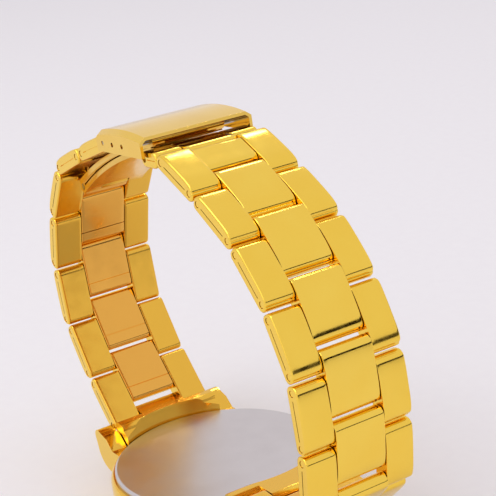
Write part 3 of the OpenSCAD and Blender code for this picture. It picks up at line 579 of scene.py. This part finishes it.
bow = add_node(block, "ShaderNodeMath", {0: u_fourth.outputs[0], 1: first_more.outputs[0],
                                         2: -middle_out}, operation="MULTIPLY_ADD")
outwards = add_node(block, "ShaderNodeMath", {0: spread[1].outputs[0], 1: size["Thickness"]},
                    operation="DIVIDE")
outwards = add_node(block, "ShaderNodeMath", {0: outwards.outputs[0], 1: -1.0, 2: 0.5},
                    operation="MULTIPLY_ADD")
bow = add_node(block, "ShaderNodeMath", {0: bow.outputs[0], 1: outwards.outputs[0]},
               operation="MULTIPLY")
bow = add_node(block, "ShaderNodeMath", {0: bow.outputs[0], 1: size["Crown"]}, operation="MULTIPLY")
middle = add_node(block, "ShaderNodeMath", {0: size["End"], 1: size["Start"]}, operation="ADD")
middle = add_node(block, "ShaderNodeMath", {0: middle.outputs[0], 1: 0.5}, operation="MULTIPLY")
shift = add_node(block, "ShaderNodeCombineXYZ", {0: middle.outputs[0], 1: across,
                                                 2: bow.outputs[0]})
spot = add_node(block, "ShaderNodeVectorMath", {0: held.outputs[0], 1: out.outputs[0]},
                operation="ADD")
spot = add_node(block, "ShaderNodeVectorMath", {0: spot.outputs[0], 1: shift.outputs[0]},
                operation="ADD")
rolled = add_node(block, "GeometryNodeSetPosition", {0: cube.outputs[0],
                                                     "Position": spot.outputs[0]})
add_node(block, "NodeGroupOutput", {0: rolled.outputs[0]})
print("rolled block:", len(block.nodes), "nodes")

# %% [markdown]
# ## Both outer links of a row
# The two outer links are one block and its mirror image. Down each outer side runs the joint of the
# folded sheet, and the two pins end a little below the surface. The joint and the recesses are cut
# out with a Mesh Boolean node, and the pins are cylinders across the band. Instances on a list of
# points would do for the pins too, but with two of them a Transform each is plainer.

# %% Outer links: inputs
def link_tree(name, numbers):
    """A node tree with these numbers and a finish as its inputs, and the sockets that give them."""
    tree = bpy.data.node_groups.new(name, "GeometryNodeTree")
    tree.interface.new_socket(name="Geometry", in_out="INPUT", socket_type="NodeSocketGeometry")
    for number in numbers:
        tree.interface.new_socket(name=number, in_out="INPUT", socket_type="NodeSocketFloat")
    tree.interface.new_socket(name="Finish", in_out="INPUT", socket_type="NodeSocketMaterial")
    tree.interface.new_socket(name="Geometry", in_out="OUTPUT", socket_type="NodeSocketGeometry")
    return tree, add_node(tree, "NodeGroupInput").outputs


def finish_tree(tree, parts, finish):
    """Joins the parts, makes instances real, sets the finish and gives the tree its output."""
    joined = add_node(tree, "GeometryNodeJoinGeometry")
    for part in parts:
        tree.links.new(part, joined.inputs[0])
    real = add_node(tree, "GeometryNodeRealizeInstances", {0: joined.outputs[0]})
    dressed = add_node(tree, "GeometryNodeSetMaterial", {0: real.outputs[0], "Material": finish})
    add_node(tree, "NodeGroupOutput", {0: dressed.outputs[0]})


outer_tree, given = link_tree("outer_link_pair", block_sizes + (
    "First pin", "Second pin", "Second bore", "Second pin shows", "Pin radius", "Pin sink",
    "Stub set-back", "Seam start", "Seam end"))
link = add_node(outer_tree, "GeometryNodeGroup", node_tree=block)
for name in block_sizes:
    outer_tree.links.new(given[name], link.inputs[name])
print("outer links take", len(given) - 1, "inputs")

# %% Outer links: recesses and joint
round_steps = 32
across_band = (quarter_turn, 0, 0)
seam_deep, seam_wide = 0.0005, 0.00014
cutters = []
for place, radius in (("First pin", "Pin radius"), ("Second pin", "Second bore")):
    hole = add_node(outer_tree, "GeometryNodeMeshCylinder", {"Vertices": round_steps,
                                                             "Radius": given[radius]})
    deep = add_node(outer_tree, "ShaderNodeMath", {0: given["Pin sink"], 1: 2.0},
                    operation="MULTIPLY")
    outer_tree.links.new(deep.outputs[0], hole.inputs["Depth"])
    at = add_node(outer_tree, "ShaderNodeCombineXYZ", {0: given[place], 1: given["Outer face"]})
    cutters.append(add_node(outer_tree, "GeometryNodeTransform", {
        0: hole.outputs[0], "Translation": at.outputs[0], "Rotation": across_band}))
seam_length = add_node(outer_tree, "ShaderNodeMath", {0: given["Seam end"], 1: given["Seam start"]},
                       operation="SUBTRACT")
seam_size = add_node(outer_tree, "ShaderNodeCombineXYZ", {0: seam_length.outputs[0], 1: seam_deep,
                                                          2: seam_wide})
seam = add_node(outer_tree, "GeometryNodeMeshCube", {"Size": seam_size.outputs[0]})
seam_middle = add_node(outer_tree, "ShaderNodeMath", {0: given["Seam end"], 1: given["Seam start"]},
                       operation="ADD")
seam_middle = add_node(outer_tree, "ShaderNodeMath", {0: seam_middle.outputs[0], 1: 0.5},
                       operation="MULTIPLY")
at = add_node(outer_tree, "ShaderNodeCombineXYZ", {0: seam_middle.outputs[0],
                                                   1: given["Outer face"]})
cutters.append(add_node(outer_tree, "GeometryNodeTransform", {0: seam.outputs[0],
                                                              "Translation": at.outputs[0]}))
cut = add_node(outer_tree, "GeometryNodeMeshBoolean", {0: link.outputs[0]}, operation="DIFFERENCE",
               solver="MANIFOLD")
for cutter in cutters:
    outer_tree.links.new(cutter.outputs[0], cut.inputs[1])
print("cut out of each outer link:", len(cutters), "places")

# %% Outer links: pin ends
# Each pin's end stands in its recess with a hair of room round it, which shows as a dark ring.
stub_share, stub_long = 0.84, 0.0015
stub_radius = add_node(outer_tree, "ShaderNodeMath", {0: given["Pin radius"], 1: stub_share},
                       operation="MULTIPLY")
stub = add_node(outer_tree, "GeometryNodeMeshCylinder", {
    "Vertices": round_steps, "Radius": stub_radius.outputs[0], "Depth": stub_long})
stub_y = add_node(outer_tree, "ShaderNodeMath", {0: given["Outer face"], 1: given["Stub set-back"]},
                  operation="SUBTRACT")
stub_y = add_node(outer_tree, "ShaderNodeMath", {0: stub_y.outputs[0], 1: stub_long / 2},
                  operation="SUBTRACT")
one_side = add_node(outer_tree, "GeometryNodeJoinGeometry")
outer_tree.links.new(cut.outputs[0], one_side.inputs[0])
for place in ("First pin", "Second pin"):
    at = add_node(outer_tree, "ShaderNodeCombineXYZ", {0: given[place], 1: stub_y.outputs[0]})
    end = add_node(outer_tree, "GeometryNodeTransform", {
        0: stub.outputs[0], "Translation": at.outputs[0], "Rotation": across_band})
    if place == "Second pin":
        end = add_node(outer_tree, "GeometryNodeSwitch", {
            0: given["Second pin shows"], 2: end.outputs[0]}, input_type="GEOMETRY")
    outer_tree.links.new(end.outputs[0], one_side.inputs[0])
print("one side:", len(outer_tree.nodes), "nodes so far")

# %% Outer links: mirror image and pin
mirrored = add_node(outer_tree, "GeometryNodeTransform", {0: one_side.outputs[0],
                                                          "Scale": (1, -1, 1)})
mirrored = add_node(outer_tree, "GeometryNodeFlipFaces", {0: mirrored.outputs[0]})
rod_depth = add_node(outer_tree, "ShaderNodeMath", {0: given["Outer face"], 1: given["Pin sink"]},
                     operation="SUBTRACT")
rod_depth = add_node(outer_tree, "ShaderNodeMath", {0: rod_depth.outputs[0], 1: 2.0},
                     operation="MULTIPLY")
rod = add_node(outer_tree, "GeometryNodeMeshCylinder", {
    "Vertices": round_steps, "Radius": given["Pin radius"], "Depth": rod_depth.outputs[0]})
at = add_node(outer_tree, "ShaderNodeCombineXYZ", {0: given["First pin"]})
rod = add_node(outer_tree, "GeometryNodeTransform", {
    0: rod.outputs[0], "Translation": at.outputs[0], "Rotation": across_band})
finish_tree(outer_tree, [one_side.outputs[0], mirrored.outputs[0], rod.outputs[0]], given["Finish"])
print("outer links:", len(outer_tree.nodes), "nodes")

# %% [markdown]
# ## The centre link of a row
# The centre link is a wider strip folded the same way. Its edges are nearly square, because the
# outer links stand close beside them, and the joint of the fold runs straight across its inner
# face. The same rolled block makes it, with other numbers, and one thin cutter opens the joint.

# %% Centre link
joint_reach, joint_deep = 0.03, 0.0008
centre_tree, given = link_tree("centre_link", block_sizes + ("Joint at",))
link = add_node(centre_tree, "GeometryNodeGroup", node_tree=block)
for name in block_sizes:
    centre_tree.links.new(given[name], link.inputs[name])
blade = add_node(centre_tree, "GeometryNodeMeshCube", {
    "Size": (seam_wide, joint_reach, joint_deep)})
deep = add_node(centre_tree, "ShaderNodeMath", {0: given["Thickness"], 1: 0.5},
                operation="MULTIPLY")
at = add_node(centre_tree, "ShaderNodeCombineXYZ", {0: given["Joint at"], 2: deep.outputs[0]})
blade = add_node(centre_tree, "GeometryNodeTransform", {0: blade.outputs[0],
                                                        "Translation": at.outputs[0]})
cut = add_node(centre_tree, "GeometryNodeMeshBoolean", {0: link.outputs[0]}, operation="DIFFERENCE",
               solver="MANIFOLD")
centre_tree.links.new(blade.outputs[0], cut.inputs[1])
finish_tree(centre_tree, [cut.outputs[0]], given["Finish"])
print("centre link:", len(centre_tree.nodes), "nodes")

# %% [markdown]
# ## From a tree to a plain mesh
# A modifier's input is set by its socket's identifier before the object is evaluated. The evaluated
# object then gives a plain mesh, which is turned onto its pin, and the modifier goes away with the
# first object. Edges sharper than 35 degrees stay sharp and everything rounder is shaded smooth.

# %% Make a piece with a tree
links_sharp_from = math.radians(35)


def evaluated_mesh(thing):
    """The mesh that an object has after its modifiers."""
    depsgraph = bpy.context.evaluated_depsgraph_get()
    return bpy.data.meshes.new_from_object(thing.evaluated_get(depsgraph))


def lay_out(name, tree, sizes, finish, matrix=Matrix.Identity(4)):
    """A piece made by a tree with these sizes, as a plain mesh moved by the matrix."""
    maker = put_in_scene(name + "_maker", bpy.data.meshes.new(name + "_maker"))
    modifier = maker.modifiers.new("links", "NODES")
    modifier.node_group = tree
    for socket in tree.interface.items_tree:
        if socket.in_out == "INPUT" and socket.socket_type != "NodeSocketGeometry":
            modifier[socket.identifier] = finish if socket.name == "Finish" else sizes[socket.name]
    bpy.context.view_layer.update()
    mesh = evaluated_mesh(maker)
    bpy.data.objects.remove(maker)
    mesh.name = name
    mesh.transform(matrix)
    mesh.shade_smooth()
    mesh.set_sharp_from_angle(angle=links_sharp_from)
    return put_in_scene(name, mesh)


print("trees to lay out with:", outer_tree.name, centre_tree.name)

# %% [markdown]
# ## Sizes of a row
# Sizes along the band are counted from the row's first pin, and the pitch is the distance from one
# row's pin to the next row's. An outer link's two pins stand equally far from its ends, and it ends
# a little before the next row's begins. All rows have the same sizes, apart from the last one at
# the clasp.

# %% Sizes of a row, in metres
pitch, row_gap, side_gap = 0.01015, 0.0004, 0.0001
pin_inset, seam_from = 0.00095, 0.00105
outer_end = pitch - pin_inset - row_gap
centre_half = 0.0041
outer_sizes = {
    "Start": -pin_inset, "End": outer_end, "Inner face": centre_half + side_gap,
    "Outer face": 0.009, "Thickness": 0.0024, "End roll": 0.0009, "Outer edge": 0.0003,
    "Inner edge": 0.00012, "Crown": 0.0005, "First pin": 0.0, "Second pin": outer_end - pin_inset,
    "Second bore": 0.0005, "Second pin shows": 1.0, "Pin radius": 0.0005, "Pin sink": 0.0004,
    "Stub set-back": 0.00008, "Seam start": seam_from,
    "Seam end": outer_end - pin_inset - seam_from}
centre_sizes = {
    "Start": 0.00255, "End": 0.01225, "Inner face": -centre_half, "Outer face": centre_half,
    "Thickness": 0.0024, "End roll": 0.0009, "Outer edge": 0.00016, "Inner edge": 0.00016,
    "Crown": 0.0005, "Joint at": 0.005}
print("an outer link is", round((outer_end + pin_inset) * 1000, 2), "mm long")

# %% Place and hand over a piece
def row_matrix(start, end, far):
    """Turns a row from lying along +X to lying from its pin to the next one.

    The 6 o'clock half is the far one. It runs towards -X, so its rows are turned round first.
    """
    way = end - start
    turn = math.atan2(way.z, -way.x if far else way.x)
    tilt = Matrix.Rotation(-turn, 4, "Y")
    half = Matrix.Rotation(math.pi, 4, "Z") if far else Matrix.Identity(4)
    return Matrix.Translation(start) @ half @ tilt


def hand_over(piece, body, node):
    """The piece rides its body and stands for the CAD node, which is hidden."""
    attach(piece, body)
    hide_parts(node)


first_place = row_matrix(pins_12[0], pins_12[1], False)
print("first row leans", round(math.degrees(first_place.to_euler().y), 1), "degrees")

# %% Lay out the 12 o'clock half
for i in range(1, rows_12 + 1):
    place = row_matrix(pins_12[i - 1], pins_12[i], False)
    outer = lay_out(f"outer_links_12_{i}", outer_tree, outer_sizes, outer_gold, place)
    hand_over(outer, f"link_12_{i}", f"band_12_outer_{i}")
    if i < rows_12:
        centre = lay_out(f"centre_link_12_{i}", centre_tree, centre_sizes, centre_gold, place)
        hand_over(centre, f"link_12_{i}", f"band_12_centre_{i}")
print("12 o'clock rows:", rows_12, "triangles in one row:",
      sum(len(p.vertices) - 2 for o in (outer, centre) for p in o.data.polygons))

# %% Lay out the 6 o'clock half
# The last row ends round the clasp's spring bar, so it is longer and its second bore is wider.
last_outer = dict(outer_sizes, **{
    "End": pitch + pin_inset, "Second pin": pitch, "Second bore": 0.00065,
    "Second pin shows": 0.0, "Seam end": pitch - seam_from})
last_centre = dict(centre_sizes, End=pitch + pin_inset)
for i in range(1, rows_6 + 1):
    place = row_matrix(pins_6[i - 1], pins_6[i], True)
    outer = lay_out(f"outer_links_6_{i}", outer_tree, last_outer if i == rows_6 else outer_sizes,
                    outer_gold, place)
    centre = lay_out(f"centre_link_6_{i}", centre_tree,
                     last_centre if i == rows_6 else centre_sizes, centre_gold, place)
    hand_over(outer, f"link_6_{i}", f"band_6_outer_{i}")
    hand_over(centre, f"link_6_{i}", f"band_6_centre_{i}")
print("6 o'clock rows:", rows_6)

# %% [markdown]
# ## End piece
# The end piece joins the clasp's inner blade to the 12 o'clock half: two short outer links and a
# folded tongue between them. Its sizes are counted back from the loop pin. The tongue is folded
# thicker than the plain solid, up to the level of its sides, so its round end shows.

# %% Lay out the end piece
end_side_sizes = dict(outer_sizes, **{
    "Start": -end_piece_long - pin_inset, "End": -0.00135, "Outer face": 0.0088, "Crown": 0.0,
    "End roll": 0.00118, "First pin": -end_piece_long, "Second pin": -end_piece_long,
    "Second bore": 0.00048, "Second pin shows": 0.0, "Pin radius": 0.0004, "Pin sink": 0.00045,
    "Stub set-back": 0.0005, "Seam start": -0.0042, "Seam end": -0.0018})
place = Matrix.Translation(loop_pin) @ Matrix.Rotation(-cover_turn, 4, "Y")
end_piece = lay_out("end_piece_sides", outer_tree, end_side_sizes, outer_gold, place)
hand_over(end_piece, "end_piece", "end_piece_outer")

tongue_raise = 0.00025
tongue_sizes = dict(centre_sizes, **{
    "Start": -0.0036, "End": 0.00005, "Thickness": 0.0019, "End roll": 0.00093, "Crown": 0.0,
    "Joint at": -0.0018})
raised = Matrix.Translation((0, 0, tongue_raise)) @ Matrix.Rotation(math.pi, 4, "X")
tongue_piece = lay_out("end_piece_tongue", centre_tree, tongue_sizes, centre_gold, place @ raised)
hand_over(tongue_piece, "end_piece", "end_piece_centre")
print("end piece faces:", len(end_piece.data.polygons), len(tongue_piece.data.polygons))

# %% [markdown]
# ## Clasp cover
# The cover is one sheet, pressed into a channel with bevelled sides and a slight arch along its
# length. Its section is the same all along, so the mesh is that section set up at steps along the
# arch, with the lower edges cut straight and the end by the spring bar turned down a little. Places
# are counted from the spring bar, and the cover is turned and moved onto it at the end.

# %% Clasp cover: sizes and section
cover_half, cover_sheet, cover_end_roll = 0.0096, 0.0005, 0.0005
cover_long, cover_tail = 0.01395, 0.00185
cover_rise, cover_top, cover_drop = 0.0006, 0.00172, 0.0013
arch_radius = cover_long ** 2 / (8 * cover_rise) + cover_rise / 2
arch_x = cover_long / 2 - cover_tail
arch_z = cover_top + cover_rise - arch_radius


def cover_section(inset):
    """Points from one side over the top to the other, each as y and its drop below the arch.

    The lowest points have no drop, because the sides end at one level. With the sheet's thickness
    as its inset, the section is the sheet's inner side.
    """
    bevel_wide, bevel_high = 0.0009, 0.0007
    slope = math.hypot(bevel_wide, bevel_high)
    side = cover_half - inset
    top = cover_half - bevel_wide - inset * (slope - bevel_wide) / bevel_high
    shoulder = bevel_high + inset * (slope - bevel_high) / bevel_wide
    half = [(side, None), (side, shoulder), (top, inset), (top / 2, inset), (0.0, inset)]
    return half + [(-y, drop) for y, drop in reversed(half[:-1])]


def cover_stations():
    """Places along the cover, crowded where the sheet turns down at the spring bar's end."""
    steps, close = 28, 6
    turning = [cover_end_roll * (1 - math.cos(quarter_turn * k / close)) for k in range(close)]
    return turning + [cover_end_roll + (cover_long - cover_end_roll) * k / steps
                      for k in range(steps + 1)]


print("cover:", len(cover_stations()), "sections of", 2 * len(cover_section(0)), "points")

# %% Clasp cover: mesh
def mesh_from(bm, name):
    """A mesh with what was built in the BMesh, which is then let go."""
    mesh = bpy.data.meshes.new(name)
    bm.to_mesh(mesh)
    bm.free()
    return mesh


def pressed_cover():
    """The sheet's two sides at every station, with walls between them and a face at each end."""
    bm = bmesh.new()
    rings = []
    for along in cover_stations():
        x = along - cover_tail
        lean = math.asin((x - arch_x) / arch_radius)
        to_go = max(cover_end_roll - along, 0)
        turn_down = cover_end_roll - math.sqrt(cover_end_roll ** 2 - to_go ** 2)
        ring = []
        for inset, order in ((0.0, 1), (cover_sheet, -1)):
            for y, drop in cover_section(inset)[::order]:
                z = arch_z + math.cos(lean) * (arch_radius - (drop or 0)) - turn_down
                z = -cover_drop if drop is None else z
                ring.append(bm.verts.new((x, y, z)))
        rings.append(ring)
    count = len(rings[0])
    for a, b in zip(rings, rings[1:]):
        for j in range(count):
            bm.faces.new((a[j], b[j], b[(j + 1) % count], a[(j + 1) % count]))
    half = count // 2
    for ring in (rings[0], rings[-1]):
        for j in range(half - 1):
            bm.faces.new((ring[j], ring[j + 1], ring[count - 2 - j], ring[count - 1 - j]))
    bmesh.ops.recalc_face_normals(bm, faces=bm.faces)
    return mesh_from(bm, "pressed_cover")


cover = put_in_scene("pressed_clasp_cover", pressed_cover())
print("cover faces before its holes:", len(cover.data.polygons))

# %% [markdown]
# ## Softened edges
# A small bevel gives the bright line that every pressed or polished edge has. Smooth shading would
# also spread the bevel's turn over the flat face beside it, as a fan of false light. So at each
# corner the normals are looked through: where one face is large and the faces next to it are the
# bevel's small ones, all of them take the large face's normal, and only the bevel itself bends the
# light.

# %% Softened edges
bevel_from, metal_sharp_from = math.radians(30), math.radians(40)
much_larger = 6
same_side, same_plane = 0.7, 0.9999


def keep_flats_flat(mesh):
    """Gives corners where a large flat face meets small bevel faces the flat face's normal."""
    around = [[] for _ in mesh.vertices]
    for face in mesh.polygons:
        for vertex, corner in zip(face.vertices, face.loop_indices):
            around[vertex].append((face, corner))
    normals = [tuple(corner.vector) for corner in mesh.corner_normals]
    for near in around:
        wide = max((face for face, _ in near), key=lambda face: face.area)
        turned = [(face, corner, wide.normal.dot(face.normal)) for face, corner in near]
        if all(face.area * much_larger < wide.area for face, _, cosine in turned
               if same_side < cosine < same_plane):
            for _, corner, cosine in turned:
                if cosine > same_side:
                    normals[corner] = tuple(wide.normal)
    mesh.normals_split_custom_set(normals)


def softened(piece, width_mm):
    """The piece with its sharp edges bevelled, shaded smooth, and its flats kept flat."""
    bevel = piece.modifiers.new("softened_edges", "BEVEL")
    bevel.width = width_mm / 1000
    bevel.segments = 2
    bevel.limit_method = "ANGLE"
    bevel.angle_limit = bevel_from
    bevel.use_clamp_overlap = True
    bevel.miter_outer = "MITER_ARC"
    mesh = evaluated_mesh(piece)
    piece.modifiers.clear()
    piece.data = mesh
    mesh.shade_smooth()
    mesh.set_sharp_from_angle(angle=metal_sharp_from)
    keep_flats_flat(mesh)
    return piece


print("edges sharper than", round(math.degrees(bevel_from)), "degrees get a bevel")

# %% [markdown]
# ## Adjusting holes
# The spring bar can sit in any of three pairs of holes, which is how such a clasp is made shorter
# or longer. Each pair is one round bit through both sides, taken away with a Boolean modifier.

# %% Adjusting holes, and the cover in its place
hole_count, hole_step, hole_radius, bit_long = 3, 0.0031, 0.00036, 0.024
cover_bevel_mm = 0.09


def drill(piece, x, radius):
    """Takes a round bit across the band out of the piece."""
    bm = bmesh.new()
    bmesh.ops.create_cone(bm, cap_ends=True, segments=round_steps, radius1=radius, radius2=radius,
                          depth=bit_long, matrix=Matrix.Translation((x, 0, 0))
                          @ Matrix.Rotation(quarter_turn, 4, "X"))
    bit = put_in_scene("drill", mesh_from(bm, "drill"))
    cut = piece.modifiers.new("hole", "BOOLEAN")
    cut.operation = "DIFFERENCE"
    cut.solver = "EXACT"
    cut.object = bit
    made = evaluated_mesh(piece)
    piece.modifiers.clear()
    piece.data = made
    bpy.data.objects.remove(bit)


def coat(piece, finish):
    """One finish for the whole piece."""
    piece.data.materials.clear()
    piece.data.materials.append(finish)


for k in range(hole_count):
    drill(cover, hole_step * k, hole_radius)
softened(cover, cover_bevel_mm)
cover.data.transform(Matrix.Translation(spring_bar) @ Matrix.Rotation(-cover_turn, 4, "Y"))
coat(cover, clasp_gold)
hand_over(cover, "clasp_cover", "clasp_cover")
print("cover faces:", len(cover.data.polygons))

# %% [markdown]
# ## The other metal parts
# The case, bezel, end links, blades and small parts are turned, pressed or stamped, and their CAD
# shapes are right. Real metal has no knife edges, though: polishing rounds each one a little, and
# that small round catches the light. A copy of each solid is merged, its flat faces are joined up,
# and a narrow bevel softens its edges.

# %% Softened copies of the CAD solids
merge_within, flat_within = 1e-6, math.radians(0.5)


def softened_copy(node, name, width_mm):
    """A softened piece with the shape of a CAD node, whose loose triangles are joined up first."""
    bm = bmesh.new()
    bm.from_mesh(frame["nodes"][node].data)
    bmesh.ops.remove_doubles(bm, verts=bm.verts, dist=merge_within)
    bmesh.ops.dissolve_limit(bm, angle_limit=flat_within, verts=bm.verts, edges=bm.edges)
    return softened(put_in_scene(name, mesh_from(bm, name)), width_mm)


# CAD node, piece, body, bevel in millimetres, finish and slot
metal_parts = [
    ("case_middle", "polished_case_middle", "head", 0.08, case_gold, "case_gold"),
    ("bezel", "polished_bezel", "head", 0.05, case_gold, "case_gold"),
    ("case_back", "satin_case_back", "head", 0.06, back_steel, "back_steel"),
    ("end_link_12", "end_link_at_12", "head", 0.08, outer_gold, "case_gold"),
    ("end_link_6", "end_link_at_6", "head", 0.08, outer_gold, "case_gold"),
    ("crown", "fluted_crown", "crown", 0.03, case_gold, "case_gold"),
    ("clasp_blade_outer", "stamped_outer_blade", "clasp_blade_outer", 0.05, blade_gold,
     "blade_gold"),
    ("clasp_blade_inner", "stamped_inner_blade", "clasp_blade_inner", 0.05, blade_gold,
     "blade_gold"),
    ("band_12_centre_8", "open_centre_link", "link_12_8", 0.12, centre_gold, "band_centre_gold"),
]
for node, name, body, width, finish, slot in metal_parts:
    piece = softened_copy(node, name, width)
    coat(piece, finish)
    hand_over(piece, body, node)
    print(name, "faces:", len(piece.data.polygons))

# %% [markdown]
# ## Minute track
# Sixty small dots are printed round the dial, larger at every fifth. They repeat round a circle, so
# a circle of sixty points carries sixty instances of one dot, and a rule on the point's number sets
# the size. The ink is far thinner than a dot is wide, and half of its thickness is sunk in the
# lacquer.

# %% Minute track: tree
black_print = moulded("pad_printed_black_ink", "#15120E", "#241F18", shine=0.5)
track, given = link_tree("minute_track", ("Radius", "Dot radius", "Height", "Ink thickness"))
minutes, fifth_larger_by, dot_steps = 60, 0.8, 12
circle = add_node(track, "GeometryNodeMeshCircle", {"Vertices": minutes, "Radius": given["Radius"]})
dot = add_node(track, "GeometryNodeMeshCylinder", {
    "Vertices": dot_steps, "Radius": given["Dot radius"], "Depth": given["Ink thickness"]})
number = add_node(track, "GeometryNodeInputIndex")
fifth = add_node(track, "ShaderNodeMath", {0: number.outputs[0], 1: 5.0}, operation="MODULO")
is_fifth = add_node(track, "ShaderNodeMath", {0: fifth.outputs[0], 1: 0.5}, operation="LESS_THAN")
scale = add_node(track, "ShaderNodeMath", {0: is_fifth.outputs[0], 1: fifth_larger_by, 2: 1.0},
                 operation="MULTIPLY_ADD")
wider = add_node(track, "ShaderNodeCombineXYZ", {0: scale.outputs[0], 1: scale.outputs[0], 2: 1.0})
dots = add_node(track, "GeometryNodeInstanceOnPoints", {
    0: circle.outputs[0], "Instance": dot.outputs[0], "Scale": wider.outputs[0]})
up = add_node(track, "ShaderNodeCombineXYZ", {2: given["Height"]})
lifted = add_node(track, "GeometryNodeTransform", {0: dots.outputs[0],
                                                   "Translation": up.outputs[0]})
finish_tree(track, [lifted.outputs[0]], given["Finish"])
print("minute track:", len(track.nodes), "nodes")

# %% Minute track: piece
ink_thick = 0.00002
track_sizes = {"Radius": 0.01338, "Dot radius": 0.0001, "Ink thickness": ink_thick,
               "Height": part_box("dial")[0][2] - ink_thick / 2}
minute_track = lay_out("printed_minute_track", track, track_sizes, black_print)
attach(minute_track, "head")
print("minute track faces:", len(minute_track.data.polygons))

# %% [markdown]
# ## Finishes for the CAD parts that stay
# The small parts inside the head and the pins keep their CAD shape and take their finish here. So
# do the CAD nodes that a piece stands for, because the CAD shape can also be shown on its own.

# %% Finishes for the parts that stay
finishes = {
    "crystal": mineral_glass, "crystal_gasket": clear_nylon, "dial": sunray_lacquer,
    "hour_markers": dial_gold, "hour_hand": dial_gold, "minute_hand": dial_gold,
    "second_hand": dial_gold, "movement_holder": grey_acetal, "movement": movement_brass,
    "battery": battery_steel, "back_gasket": black_rubber, "crown_stem": pin_steel,
    "crown_tube": case_gold, "crown_gasket": black_rubber, "lug_spring_bars": pin_steel,
    "clasp_spring_bar": pin_steel, "cover_hinge_pin": pin_steel, "blade_hinge_pin": pin_steel,
    "clasp_end_pin": pin_steel,
}
finishes.update({node: finish for node, _, _, _, finish, _ in metal_parts})
for name, node in frame["nodes"].items():
    if name in finishes:
        finish = finishes[name]
    elif name.startswith("band_"):
        finish = outer_gold if "outer" in name else centre_gold
    else:
        finish = clasp_gold
    for material_slot in node.material_slots:
        material_slot.material = finish
print("nodes with a finish:", len(frame["nodes"]))

# %% [markdown]
# ## Close the model
# Colours are shown with the Standard view transform.

# %% View transform
bpy.context.scene.view_settings.view_transform = "Standard"
